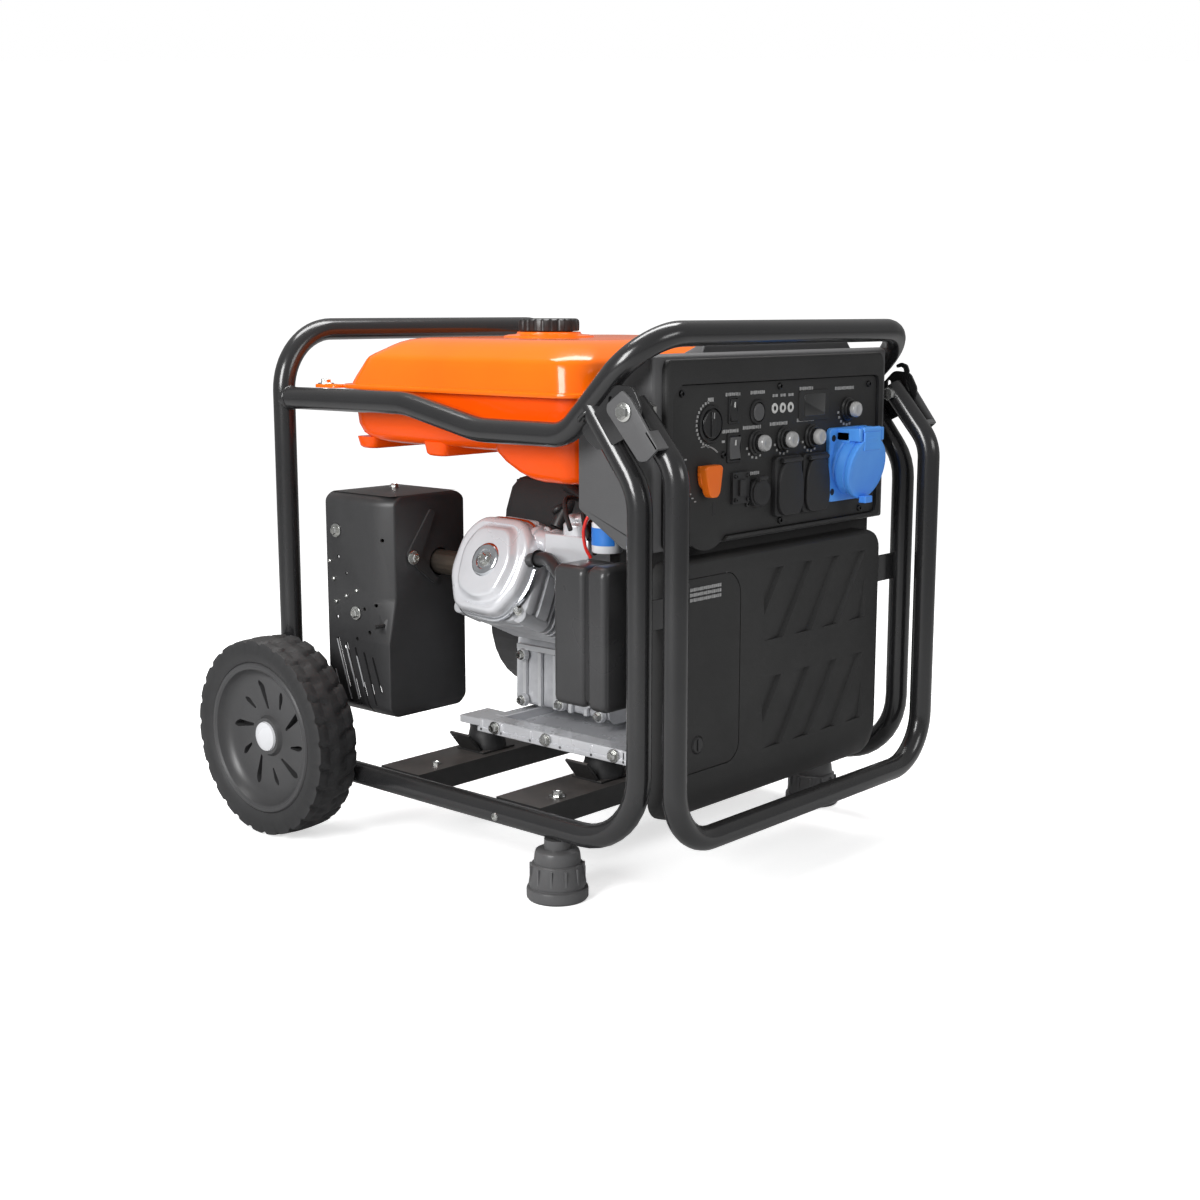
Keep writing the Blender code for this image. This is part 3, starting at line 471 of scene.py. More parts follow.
print(drift.name, "has", len(drift.nodes), "nodes")

# %% [markdown]
# ## Fine grain
# Small noise plus cell distances gives a height for the bump node. Moulded plastic
# wants deep pits, lacquer hardly any.

# %% Effect: fine grain
grain, g_in, g_out = new_group(
    "fine_grain",
    [("Size", "NodeSocketFloat", 900.0), ("Pits", "NodeSocketFloat", 0.3)],
    [("Height", "NodeSocketFloat")])
coords = grain.nodes.new("ShaderNodeTexCoord")
speck = grain.nodes.new("ShaderNodeTexNoise")
speck.inputs["Detail"].default_value = 3.0
pits = grain.nodes.new("ShaderNodeTexVoronoi")
wire(grain, [(coords.outputs["Object"], speck.inputs["Vector"]),
             (coords.outputs["Object"], pits.inputs["Vector"]),
             (g_in.outputs["Size"], speck.inputs["Scale"]),
             (g_in.outputs["Size"], pits.inputs["Scale"])])
wire(grain, [(math_node(grain, "ADD", speck.outputs["Fac"],
                        math_node(grain, "MULTIPLY", pits.outputs["Distance"],
                                  g_in.outputs["Pits"])), g_out.inputs["Height"])])
print(grain.name, "has", len(grain.nodes), "nodes")

# %% [markdown]
# ## Dust and a painted edge highlight
# Dust needs faces that look up, so the normal's Z drives it. The paler edges are a
# painted highlight; they come from pointiness, which is high where a surface bends outward.

# %% Effect: settled dust and a painted edge highlight
dust, g_in, g_out = new_group(
    "settled_dust",
    [("Amount", "NodeSocketFloat", 0.2), ("Size", "NodeSocketFloat", 40.0)],
    [("Mask", "NodeSocketFloat")])
coords = dust.nodes.new("ShaderNodeTexCoord")
split = dust.nodes.new("ShaderNodeSeparateXYZ")
cloud = dust.nodes.new("ShaderNodeTexNoise")
cloud.inputs["Detail"].default_value = 6.0
up = dust.nodes.new("ShaderNodeMapRange")
up.inputs["From Min"].default_value = 0.35
wire(dust, [(coords.outputs["Normal"], split.inputs[0]), (split.outputs["Z"], up.inputs["Value"]),
            (coords.outputs["Object"], cloud.inputs["Vector"]),
            (g_in.outputs["Size"], cloud.inputs["Scale"])])
wire(dust, [(math_node(dust, "MULTIPLY",
                       math_node(dust, "MULTIPLY", up.outputs["Result"], cloud.outputs["Fac"]),
                       g_in.outputs["Amount"], True), g_out.inputs["Mask"])])

# Paler outward edges: a painted highlight along every edge that bends outward.
edge_highlight_group, g_in, g_out = new_group(
    "painted_edge_highlight",
    [("Amount", "NodeSocketFloat", 0.5), ("Size", "NodeSocketFloat", 60.0)],
    [("Mask", "NodeSocketFloat")])
shape = edge_highlight_group.nodes.new("ShaderNodeNewGeometry")
edge = edge_highlight_group.nodes.new("ShaderNodeMapRange")
edge.inputs["From Min"].default_value = 0.52
edge.inputs["From Max"].default_value = 0.62
coords = edge_highlight_group.nodes.new("ShaderNodeTexCoord")
cloud = edge_highlight_group.nodes.new("ShaderNodeTexNoise")
cloud.inputs["Detail"].default_value = 5.0
wire(edge_highlight_group, [(shape.outputs["Pointiness"], edge.inputs["Value"]),
            (coords.outputs["Object"], cloud.inputs["Vector"]),
            (g_in.outputs["Size"], cloud.inputs["Scale"])])
wire(edge_highlight_group, [(math_node(edge_highlight_group, "MULTIPLY",
                       math_node(edge_highlight_group, "MULTIPLY", edge.outputs["Result"], cloud.outputs["Fac"]),
                       g_in.outputs["Amount"], True), g_out.inputs["Mask"])])
print("effects:", [g.name for g in (drift, grain, dust, edge_highlight_group)])

# %% [markdown]
# ## The finishes
# One function mixes the effects into a Principled shader. What stays the same
# all over, such as the lacquer's coat, is typed straight on the shader. What
# changes over the surface comes in through the groups.

# %% Finish maker
def srgb(*values):
    """Turn 0-255 display values into the linear colour that the shader wants."""
    out = []
    for v in values:
        c = v / 255.0
        out.append(c / 12.92 if c <= 0.04045 else ((c + 0.055) / 1.055) ** 2.4)
    return tuple(out)


def group_node(tree, group, **values):
    """Place a group in a material and type values into its named sockets."""
    node = tree.nodes.new("ShaderNodeGroup")
    node.node_tree = group
    for label, value in values.items():
        socket = node.inputs[label.replace("_", " ")]
        socket.default_value = (*value, 1.0) if isinstance(value, tuple) else value
    return node


def make_finish(name, colour, colour_b=None, rough=(0.4, 0.5), metal=0.0, tone=9.0, coat=0.0,
                grain_size=900.0, bump=0.05, depth=0.2, pits=0.3, dust_amount=0.12,
                dust_colour=(0.30, 0.27, 0.24), edge=0.3, edge_colour=None, specular=0.5,
                coat_rough=0.08):
    """A whole material from two colours, two roughness limits and a few amounts."""
    mat = bpy.data.materials.new(name)
    mat.use_nodes = True
    tree = mat.node_tree
    shader = tree.nodes["Principled BSDF"]
    colour_b = colour_b or tuple(c * 0.75 for c in colour)
    # edge_colour is the colour of the painted highlight on outward edges; by default a paler copy of
    # the base colour.
    edge_colour = edge_colour or tuple(min(1.0, c * 1.9 + 0.01) for c in colour)
    base = group_node(tree, drift, Colour_A=colour, Colour_B=colour_b, Size=tone)
    edge_highlight_node = group_node(tree, edge_highlight_group, Amount=edge)
    film = group_node(tree, dust, Amount=dust_amount)
    fine = group_node(tree, grain, Size=grain_size, Pits=pits)
    mixed = blend_colour(tree, edge_highlight_node.outputs["Mask"], base.outputs["Colour"], edge_colour)
    mixed = blend_colour(tree, film.outputs["Mask"], mixed, dust_colour)
    tree.links.new(mixed, shader.inputs["Base Color"])
    spread = tree.nodes.new("ShaderNodeMapRange")
    spread.inputs["To Min"].default_value = rough[0]
    spread.inputs["To Max"].default_value = rough[1]
    tree.links.new(base.outputs["Mask"], spread.inputs["Value"])
    tree.links.new(math_node(tree, "ADD", spread.outputs["Result"],
                             math_node(tree, "MULTIPLY", film.outputs["Mask"], 0.6), True),
                   shader.inputs["Roughness"])
    relief = tree.nodes.new("ShaderNodeBump")
    relief.inputs["Strength"].default_value = bump
    relief.inputs["Distance"].default_value = depth * MM
    tree.links.new(fine.outputs["Height"], relief.inputs["Height"])
    tree.links.new(relief.outputs["Normal"], shader.inputs["Normal"])
    shader.inputs["Metallic"].default_value = metal
    shader.inputs["Coat Weight"].default_value = coat
    shader.inputs["Coat Roughness"].default_value = coat_rough
    shader.inputs["Specular IOR Level"].default_value = specular
    return mat


print("mid grey 128 is", round(srgb(128)[0], 3), "in linear light")

# %% [markdown]
# ## Paint and steel
# Powder coat is glossy with a fine orange-peel grain; the tank's lacquer is smoother and
# its underside takes a darker copy of it as painted shade. Zinc and hot steel are metals, so they only
# reflect.

# %% Finishes: paint and steel
powder_black = make_finish("powder_black", srgb(38, 38, 39), srgb(31, 31, 32), (0.20, 0.27),
                           grain_size=700.0, bump=0.10, depth=0.25, dust_amount=0.05, edge=0.2,
                           coat=0.35, coat_rough=0.14)
chassis_black = make_finish("chassis_black", srgb(42, 42, 42), srgb(34, 34, 34), (0.36, 0.46),
                            bump=0.14, dust_amount=0.42, dust_colour=srgb(150, 140, 134), edge=0.4)
tank_orange = make_finish("tank_orange", srgb(255, 118, 8), srgb(255, 108, 4), (0.16, 0.22),
                          grain_size=260.0, bump=0.02, depth=0.12, dust_amount=0.0, edge=0.0,
                          coat=0.45, coat_rough=0.04, tone=4.0, specular=0.25)
# The tank's own orange made darker and redder: painted shade for the faces that look down.
tank_orange_painted_shade = make_finish("tank_orange_painted_shade", srgb(255, 92, 4), srgb(250, 82, 2), (0.20, 0.28),
                             grain_size=260.0, bump=0.02, depth=0.12, dust_amount=0.0, edge=0.0,
                             coat=0.25, coat_rough=0.06, tone=4.0, specular=0.15)
guard_black = make_finish("guard_black", srgb(50, 50, 51), srgb(43, 43, 44), (0.38, 0.48),
                          grain_size=800.0, bump=0.12, dust_amount=0.10, edge=0.5)
zinc = make_finish("zinc_plate", srgb(214, 214, 210), srgb(178, 180, 178), (0.18, 0.34),
                   metal=1.0, tone=120.0, grain_size=1500.0, bump=0.10, dust_amount=0.04)
dark_bolt = make_finish("dark_bolt", srgb(40, 40, 41), srgb(30, 30, 31), (0.32, 0.46),
                        metal=0.6, tone=120.0, bump=0.10, dust_amount=0.03)
hot_steel = make_finish("hot_steel", srgb(120, 112, 104), srgb(92, 78, 66), (0.34, 0.56),
                        metal=0.9, tone=18.0, bump=0.20)
print("paints and steels:", len(bpy.data.materials))

# %% [markdown]
# ## Metal castings
# Sand-cast alloy is rough and a little mottled. The rocker cover is painted silver
# over that, so it is smoother and has a thin clear coat.

# %% Finishes: castings
cast_alloy = make_finish("cast_alloy", srgb(196, 197, 200), srgb(164, 166, 170), (0.36, 0.52),
                         metal=0.30, tone=30.0, grain_size=420.0, bump=0.35, depth=0.45,
                         dust_amount=0.08, edge=0.6, edge_colour=srgb(236, 237, 238))
silver_paint = make_finish("silver_paint", srgb(228, 229, 233), srgb(214, 215, 219), (0.22, 0.30),
                           metal=0.35, tone=14.0, grain_size=1400.0, bump=0.10, edge=0.5,
                           edge_colour=srgb(242, 243, 244), dust_amount=0.04, coat=0.3)
bright_rim = make_finish("bright_rim", srgb(236, 238, 242), srgb(206, 210, 216), (0.10, 0.20),
                         metal=1.0, tone=30.0, grain_size=1200.0, bump=0.04, dust_amount=0.0)
print("cast alloy, silver paint and a bright rim added")

# %% [markdown]
# ## Plastics, rubber and small things
# Black plastics differ in grain and gloss more than in colour. That difference is
# what lets the panel, the cover and the flaps be told apart.

# %% Finishes: plastic
panel_black = make_finish("panel_black", srgb(50, 50, 50), srgb(46, 46, 46), (0.52, 0.60),
                          specular=0.30, grain_size=1100.0, bump=0.35, depth=0.25, pits=0.8,
                          edge=0.35, dust_amount=0.04, tone=12.0)
cover_black = make_finish("cover_black", srgb(51, 51, 51), srgb(47, 47, 47), (0.50, 0.60),
                          specular=0.30, grain_size=950.0, bump=0.40, depth=0.3, pits=0.9,
                          edge=0.25, dust_amount=0.06, tone=10.0)
housing_grey = make_finish("housing_grey", srgb(88, 88, 89), srgb(80, 80, 81), (0.42, 0.52),
                           grain_size=1000.0, bump=0.30, depth=0.25, pits=0.7, edge=0.3,
                           dust_amount=0.06)
airbox_black = make_finish("airbox_black", srgb(60, 60, 61), srgb(52, 52, 53), (0.26, 0.36),
                           grain_size=800.0, bump=0.12, edge=0.4, dust_amount=0.05)
rim_plastic = make_finish("rim_plastic", srgb(68, 68, 69), srgb(60, 60, 61), (0.34, 0.44),
                          grain_size=900.0, bump=0.14, edge=0.4, dust_amount=0.04)
hub_grey = make_finish("hub_grey", srgb(222, 223, 226), srgb(204, 205, 208), (0.26, 0.36),
                       bump=0.06, dust_amount=0.02)
control_black = make_finish("control_black", srgb(34, 34, 35), srgb(28, 28, 29), (0.28, 0.38),
                            grain_size=1300.0, bump=0.10, dust_amount=0.02, edge=0.5)
flap_black = make_finish("flap_black", srgb(46, 46, 47), srgb(41, 41, 42), (0.42, 0.52),
                         specular=0.35, grain_size=1200.0, bump=0.25, pits=0.6,
                         dust_amount=0.03, edge=0.5)
boot_clear = make_finish("boot_translucent", srgb(196, 196, 194), srgb(160, 160, 160), (0.16, 0.26),
                         grain_size=700.0, bump=0.06, dust_amount=0.0, coat=0.5)
lever_orange = make_finish("lever_orange", srgb(255, 128, 24), srgb(255, 116, 18), (0.34, 0.42),
                           bump=0.10, dust_amount=0.0, edge=0.2)
socket_blue = make_finish("socket_blue", srgb(92, 170, 255), srgb(76, 150, 246), (0.30, 0.38),
                          grain_size=700.0, bump=0.06, dust_amount=0.0, edge=0.25, tone=14.0,
                          edge_colour=srgb(110, 170, 240))
rubber_black = make_finish("rubber_black", srgb(40, 40, 41), srgb(33, 33, 34), (0.52, 0.66),
                           grain_size=500.0, bump=0.18, dust_amount=0.10)
tread_rubber = make_finish("tread_rubber", srgb(44, 44, 45), srgb(37, 37, 38), (0.50, 0.64),
                           grain_size=420.0, bump=0.30, depth=0.35, dust_amount=0.08, edge=0.7,
                           edge_colour=srgb(78, 78, 79))
foot_rubber = make_finish("foot_rubber", srgb(88, 88, 89), srgb(76, 76, 77), (0.26, 0.36),
                          grain_size=600.0, bump=0.12, dust_amount=0.08, edge=0.6)
hose_rubber = make_finish("hose_rubber", srgb(46, 46, 47), srgb(36, 36, 37), (0.34, 0.46),
                          bump=0.10, dust_amount=0.03)
red_wire = make_finish("red_wire", srgb(226, 44, 34), srgb(200, 34, 26), (0.30, 0.38),
                       bump=0.05, dust_amount=0.0)
white_plastic = make_finish("white_plastic", srgb(232, 233, 236), srgb(214, 216, 220),
                            (0.28, 0.36), bump=0.06, dust_amount=0.0)
blue_tape = make_finish("blue_tape", srgb(44, 120, 208), srgb(36, 104, 190), (0.36, 0.44),
                        bump=0.08, dust_amount=0.0)
print_white = make_finish("print_white", srgb(176, 176, 176), srgb(146, 146, 146), (0.5, 0.6),
                          grain_size=2200.0, bump=0.05, dust_amount=0.0, edge=0.0, tone=260.0)
lens_white = make_finish("lens_white", srgb(232, 232, 230), srgb(206, 206, 204), (0.18, 0.26),
                         bump=0.04, dust_amount=0.0, edge=0.0, coat=0.6)
screen_glass = make_finish("screen_glass", srgb(26, 27, 28), srgb(20, 21, 22), (0.06, 0.10),
                           bump=0.01, dust_amount=0.0, edge=0.0, coat=1.0, coat_rough=0.02)
print("finishes:", len(bpy.data.materials))

# %% [markdown]
# ## The tubular frame
# The real frame is bent steel tube, powder coated after welding. A bar could be
# modelled from boxes and then smoothed, but a curve with a round bevel is the
# honest twin of a tube bender: straight runs joined by arcs of one radius.
# The measured frame keeps coarse bends, so the curves here use many more steps.

# %% Frame tubes
TUBE_R, POST_X, FRONT_Y, REAR_Y = 12.5, 232.5, -287.0, 247.0
RAIL_Z, HOOP_Z, DIP_Z, TOP_Z, DIP_Y = 76.0, 497.0, 475.0, 573.5, -193.0

for side, word in SIDES:
    x = side * POST_X
    lean_top = (x, DIP_Y - 32.0, DIP_Z + 32.0)
    loop = bend_path([lean_top, (x, FRONT_Y, 426), (x, FRONT_Y, RAIL_Z), (x, REAR_Y, RAIL_Z),
                      (x, REAR_Y, HOOP_Z - 8)], [60, 75, 75])
    settle(pipe(word + "_loop", loop, TUBE_R, 8), powder_black, "frame",
           [word + "_side_tube"])

rear_bar = bend_path([(-POST_X, REAR_Y, HOOP_Z - 9), (-POST_X, REAR_Y, TOP_Z),
                      (POST_X, REAR_Y, TOP_Z), (POST_X, REAR_Y, HOOP_Z - 9)], [70, 70], 16)
settle(pipe("rear_hoop", rear_bar, TUBE_R, 8), powder_black, "frame",
       ["rear_hoop_tube"])

half = [(REAR_Y - 4, HOOP_Z), (40.0, 498.0), (-70.0, DIP_Z), (DIP_Y, DIP_Z)]
peak = (DIP_Y - (TOP_Z - DIP_Z), TOP_Z)
left = [(-POST_X, y, z) for y, z in half + [peak]]
right = [(POST_X, y, z) for y, z in reversed(half + [peak])]
hoop = bend_path(left + right, [120, 120, 45, 55, 55, 45, 120, 120], 16)
settle(pipe("upper_hoop", hoop, TUBE_R, 8), powder_black, "frame",
       ["upper_hoop_tube"])
print("tubes bent: loops, rear hoop and upper hoop")

# %% [markdown]
# ## Weld beads
# Where two tubes meet, a welder leaves a ring of overlapping small puddles. A
# ripple along a thin ring gives that look from geometry, and it hides the line
# where the two bars pass into each other.

# %% Weld beads
def bead(bm, centre, axis, r, thick=2.2, puddles=40):
    """A rippled ring of weld around a bar."""
    place = Matrix.Translation(Vector(centre)) @ axis_turn(axis)
    rings = []
    for k in range(puddles * 2):
        t = math.tau * k / (puddles * 2)
        fat = thick * (1.0 + 0.18 * (k % 2))
        mid = Vector((r * math.cos(t), r * math.sin(t), 0))
        out = mid.normalized()
        rings.append([place @ (mid + out * fat * math.cos(a) + Vector((0, 0, fat * math.sin(a))))
                      for a in (0, 1.05, 2.09, 3.14, 4.19, 5.24)])
    rows = [[bm.verts.new(p) for p in ring] for ring in rings]
    for a, b in zip(rows, rows[1:] + rows[:1]):
        for i in range(6):
            j = (i + 1) % 6
            bm.faces.new((a[i], a[j], b[j], b[i]))


beads = bmesh.new()
for side in (-1, 1):
    x = side * POST_X
    bead(beads, (x, REAR_Y - 12.0, HOOP_Z), (0, 1, 0), 11.8)
    bead(beads, (x, DIP_Y - 31.5, DIP_Z + 31.0 - 12.0 + 2.5), (0, -0.62, -0.78), 12.2, 1.9)
settle(from_bmesh("weld_beads", beads, 60), powder_black, "frame")
print("four weld beads laid")

# %% [markdown]
# ## Pivot plates, bolts and the latch
# The handle hangs on two plates welded to the leaning posts. Each is laser cut
# from 3 mm sheet, so it is a flat outline with a small broken edge.

# %% Pivot plates
PIVOT_Y, PIVOT_Z = -279.0, 502.0
pivot_shape = [(-228, 474), (-222, 483), (-252, 513), (-266, 527), (-287, 525), (-297, 507),
               (-292, 490), (-279, 478), (-262, 470), (-243, 464)]
bolts = bmesh.new()
for side, word in SIDES:
    plate = pillow(word + "_pivot_plate", soft_corners(pivot_shape, 5), "YZ", side * 240.3,
                   side * 243.3, 0.5, 2)
    slot = pillow("slot", rounded_rect(-262, -257, 503, 516, 2.4), "YZ", side * 238, side * 246)
    settle(bake_shape(cut(plate, slot)), powder_black, "frame")
    rod = bmesh.new()
    spin(rod, [(0, 0), (5, 0), (5, 42), (0, 42)], (side * 206, PIVOT_Y, PIVOT_Z),
         (side, 0, 0), 20)
    spin(rod, [(0, 41), (9.2, 41), (9.2, 42.2), (8.6, 42.6), (0, 42.6)],
         (side * 206, PIVOT_Y, PIVOT_Z), (side, 0, 0), 24)
    hex_bolt(rod, (side * 248.2, PIVOT_Y, PIVOT_Z), (side, 0, 0), 12.5, 4.6)
    hex_bolt(rod, (side * 211.3, PIVOT_Y, PIVOT_Z), (-side, 0, 0), 13, 5.2)
    settle(from_bmesh(word + "_pivot_bolt", rod), zinc, "frame")
    near, far = sorted((side * 190.4, side * 224.0))
    lug = bmesh.new()
    block(lug, (near, -284, 290), (far, -281, 320))
    block(lug, (near, -281.2, 290), (far, -272, 293))
    settle(soften(from_bmesh(word + "_cover_bracket", lug), 0.6, 2), powder_black, "frame")
print("pivot axis at y", PIVOT_Y, "and z", PIVOT_Z)

# %% [markdown]
# ## The latch
# The latch is a hooked leaf of thin sheet around the left pivot, and rides on its
# own body, so it can tip forward over the tube.

# %% Latch leaf
hub = [(PIVOT_Y + 9.5 * math.cos(math.radians(a)), PIVOT_Z + 9.5 * math.sin(math.radians(a)))
       for a in range(130, 421, 12)]
hook = [(-278, 516.5), (-281.5, 525), (-280.5, 530), (-277, 531.5), (-271.5, 530),
        (-270.5, 533.5), (-277, 536.5), (-284.5, 534), (-287.5, 527), (-285, 518)]
leaf = pillow("latch_leaf", hub + soft_corners(hook, 1.6, 3), "YZ", 236.8, 240.0, 0.5, 2)
settle(leaf, dark_bolt, "latch", ["handle_latch"])
print("latch leaf on body: latch")

# %% [markdown]
# ## The pull handle
# The handle is the same kind of tube, a little thinner, bent into a U. Its top
# ends lean back to the pivots and carry a folded sheet shoe each. Everything
# here rides on the body called handle, so it swings in one piece.

# %% Pull handle
HANDLE_R, HANDLE_X, HANDLE_Y, HANDLE_LOW, HANDLE_BEND = 12.3, 224.0, -324.7, 82.0, 448.0


def lean_point(s, t):
    """Point s along the handle's leaning end and t in front of it, seen from the side."""
    along = Vector((HANDLE_Y - PIVOT_Y, HANDLE_BEND - PIVOT_Z)).normalized()
    front = Vector((along.y, -along.x))
    return (PIVOT_Y + s * along.x + t * front.x, PIVOT_Z + s * along.y + t * front.y)


line = []
for side in (-1, 1):
    leg = [(side * HANDLE_X, *lean_point(-9.0, 0.0)), (side * HANDLE_X, HANDLE_Y, HANDLE_BEND),
           (side * HANDLE_X, HANDLE_Y, HANDLE_LOW)]
    line += leg if side < 0 else leg[::-1]
settle(pipe("pull_handle", bend_path(line, [45, 58, 58, 45], 16), HANDLE_R, 8), powder_black,
       "handle", ["handle_tube"])
for side, word, start in ((-1, "left", 30), (1, "right", 46)):
    wall = [lean_point(*p) for p in ((-19, -12), (-14, -17), (46, -15.5), (51.5, -8), (51.5, 10.6),
                                     (-4, 14), (-17, 11))]
    shoe = pillow(word + "_shoe_wall", soft_corners(wall, 3), "YZ", side * 243.6, side * 246.6,
                  0.6, 2)
    hole = lathe("hole", [(0, -20), (5.4, -20), (5.4, 20), (0, 20)],
                 (side * 245, PIVOT_Y, PIVOT_Z), "X", 24)
    bake_shape(cut(shoe, hole))
    settle(shoe, housing_grey, "handle")
    lip = bmesh.new()
    front = [lean_point(*p) for p in ((start, 7.6), (start, 10.6), (51.2, 10.6), (51.2, 7.6))]
    loft(lip, [[(side * 229.0, y, z) for y, z in front], [(side * 246.6, y, z) for y, z in front]])
    settle(soften(from_bmesh(word + "_shoe_lip", lip), 0.7, 3), housing_grey, "handle")
print("handle hangs from z", PIVOT_Z, "down to", HANDLE_LOW)

# %% [markdown]
# ## Cross-members
# Two pressed channels join the side loops and carry the engine's rubber mounts.
# Their shape in the measured frame is right, so they stay and only take a
# dustier paint. Bolt heads are added on top.

# %% Cross-members
repaint(chassis_black, "front_crossmember", "rear_crossmember")
for side in (-1, 1):
    hex_bolt(bolts, (side * 177.16, -126.0, 86.0), "Z", 10, 5, 9)
    hex_bolt(bolts, (side * 177.16, 62.0, 86.0), "Z", 8, 4)
    screw_head(bolts, (side * 243.9, -100.0, 74.0), (side, 0, 0), 4.5)
print("frame done")

# %% [markdown]
# ## Wheels
# The tyre is moulded rubber with blocks that slant into a shallow V. A lathe
# gives the plain ring; the tread then comes from pushing each grid point in or
# out by a pattern that repeats every few degrees. The rim is a dished disc with
# long and short slots, and a pale hub cap in the middle.

# %% Tyres
WHEEL_R, WHEEL_X, WHEEL_Y = 114.0, 278.15, 223.0


def tyre(side, word):
    """Ring of rubber: `across` runs over the tread, `round_steps` around the wheel."""
    mid = side * WHEEL_X
    across = [(87.4, 24.0), (92.0, 27.0), (99.0, 27.6), (104.0, 26.8)]
    across += [(0, w) for w in (25.6, 24.6, 21.0, 17.0, 12.6, 11.8, 6.0, 1.0)]
    profile = across + [(r, -w) for r, w in reversed(across)]
    round_steps = 216
    blocks = 27
    bm = bmesh.new()
    rows = []
    for k in range(round_steps):
        turn = math.tau * k / round_steps
        row = []
        for i, (r, w) in enumerate(profile):
            h = w
            if r == 0:
                slant = abs(w) / 25.6 * 0.55 + (0.0 if w > 0 else 0.5)
                phase = (k * blocks / round_steps + slant) % 1.0
                groove = phase < 0.22 and abs(w) > 3.0
                rim_cut = 11.0 < abs(w) < 13.5 and phase < 0.7
                crown = WHEEL_R - 0.0025 * w * w
                r = crown - (2.6 if groove else 0.0) - (1.5 if rim_cut and not groove else 0.0)
            elif r == 104.0:
                phase = (k * blocks / round_steps + 0.55 + (0.0 if w > 0 else 0.5)) % 1.0
                r, h = (107.5, w * (0.985 if phase < 0.22 else 1.0))
            row.append(bm.verts.new((mid + h, WHEEL_Y + r * math.cos(turn),
                                     WHEEL_R + r * math.sin(turn))))
        rows.append(row)
    count = len(profile)
    for a, b in zip(rows, rows[1:] + rows[:1]):
        for i in range(count):
            j = (i + 1) % count
            bm.faces.new((a[i], a[j], b[j], b[i]))
    return settle(from_bmesh(word + "_tread", bm, 32), tread_rubber, word + "_wheel",
                  [word + "_tyre"])


for side, word in SIDES:
    tyre(side, word)
print("tyres moulded, 27 tread blocks on each shoulder")

# %% [markdown]
# ## Rims
# Long and short slots take turns around the disc and lean a little, like a fan.
# One function places them twice: deep ones to cut with, thin dark ones laid on the slot floors as
# painted shade.

# %% Rims
def add_slots(bm, base, outward, levels):
    """Ten swirling slots between two levels along the wheel's axis."""
    place = Matrix.Translation(Vector(base)) @ axis_turn(outward)
    for k in range(10):
        turn = math.tau * (k + 0.25) / 10
        far, near, wide = ((64.0, 31.0, 4.6), (58.0, 38.0, 3.6))[k % 2]
        outline = []
        for u, v in soft_corners([(near, -wide * 0.35), (far - 4, -wide), (far + 2, 0.0),
                                  (far - 4, wide), (near, wide * 0.35)], 3.5, 4):
            swirl = turn + 0.006 * (u - 48) + v / max(u, 1.0)
            outline.append((u * math.cos(swirl), u * math.sin(swirl)))
        loft(bm, [[place @ Vector((u, v, h)) for u, v in outline] for h in levels])


def rim(side, word):
    """Dished disc whose slots are sunk into it, with a rolled outer lip and a hub cap."""
    outward = (side, 0, 0)
    base = (side * WHEEL_X, WHEEL_Y, WHEEL_R)
    disc = lathe(word + "_disc",
                 [(0, 14), (21, 14), (24, 9.5), (30, 8.4), (58, 8.6), (68, 10.5), (74, 14.5),
                  (77.5, 20.0), (79.5, 24.4), (82, 26.0), (85.5, 25.6), (87.0, 24.0),
                  (87.0, -24), (84.5, -25.0), (80, -22), (76, -6), (23, -6), (21, -27), (8.6, -27),
                  (8.6, 11), (0, 11)], base, outward, 96, 28)
    cutters = bmesh.new()
    add_slots(cutters, base, outward, (-2.5, 14.0))
    tool = from_bmesh("slots", cutters)
    bake_shape(cut(disc, tool), 28)
    settle(disc, rim_plastic, word + "_wheel", [word + "_rim"])
    # Dark sheets on the slot floors: painted shade in the recesses.
    wells = bmesh.new()
    add_slots(wells, base, outward, (-2.3, -1.4))
    settle(from_bmesh(word + "_slot_painted_shade", wells), control_black, word + "_wheel")
    cap = lathe(word + "_hub_cap", [(0, 19.0), (5, 18.9), (13.5, 18.0), (16.4, 16.6), (17.4, 13),
                                    (0, 13)], base, outward, 48)
    settle(cap, hub_grey, word + "_wheel")


for side, word in SIDES:
    rim(side, word)
repaint(zinc, "left_axle", "right_axle")
print("rims cut, ten slots each")

# %% [markdown]
# ## Feet
# Each foot is a rubber cup on a short pin: collar, skirt, a groove and a ring
# that touches the floor. A lathe profile says all of it.

# %% Feet
for side, word in SIDES:
    pad = lathe(word + "_foot_cup",
                [(0, 63), (13.6, 63), (13.6, 53), (19, 52.6), (22.4, 51), (23.4, 48), (24.4, 40),
                 (24.0, 38.4), (26.6, 37.2), (27.2, 34), (29.8, 16.5), (29.6, 15.2), (28.8, 14.6),
                 (28.9, 13.2), (31.4, 12.2), (32, 10.5), (32, 2.4), (30.6, 0.4), (29, 0), (0, 0)],
                (side * 228, -174, 0), "Z", 64, 28)
    ribs = bmesh.new()
    for k in range(12):
        turn = Matrix.Rotation(math.tau * k / 12, 4, "Z")
        place = Matrix.Translation(Vector((side * 228, -174, 0))) @ turn
        block(ribs, (26.4, -1.1, 15.5), (29.4, 1.1, 35.5), place)
    settle(pad, foot_rubber, "frame", [word + "_foot"])
    settle(from_bmesh(word + "_foot_ribs", ribs), foot_rubber, "frame")
print("wheels and feet done")

# %% [markdown]
# ## Fuel tank
# Two deep pressings meet in a seam flange. The upper shell has a long sloping
# rear end, a crease where the side turns into a chamfer, and a flat top. The
# lower shell steps down towards a sump at the front. Stacked rounded rectangles,
# skinned into one sheet, follow all of that better than a bevelled box.

# %% Tank shells
TANK_X, TANK_FRONT, TANK_REAR = 211.0, -184.0, 188.0


def tank_ring(z, inset, radius, rear=0.0, front=0.0):
    return lift(rounded_rect(-TANK_X + inset, TANK_X - inset, TANK_FRONT + inset + front,
                             TANK_REAR - inset - rear, radius, 8), z, "XY")


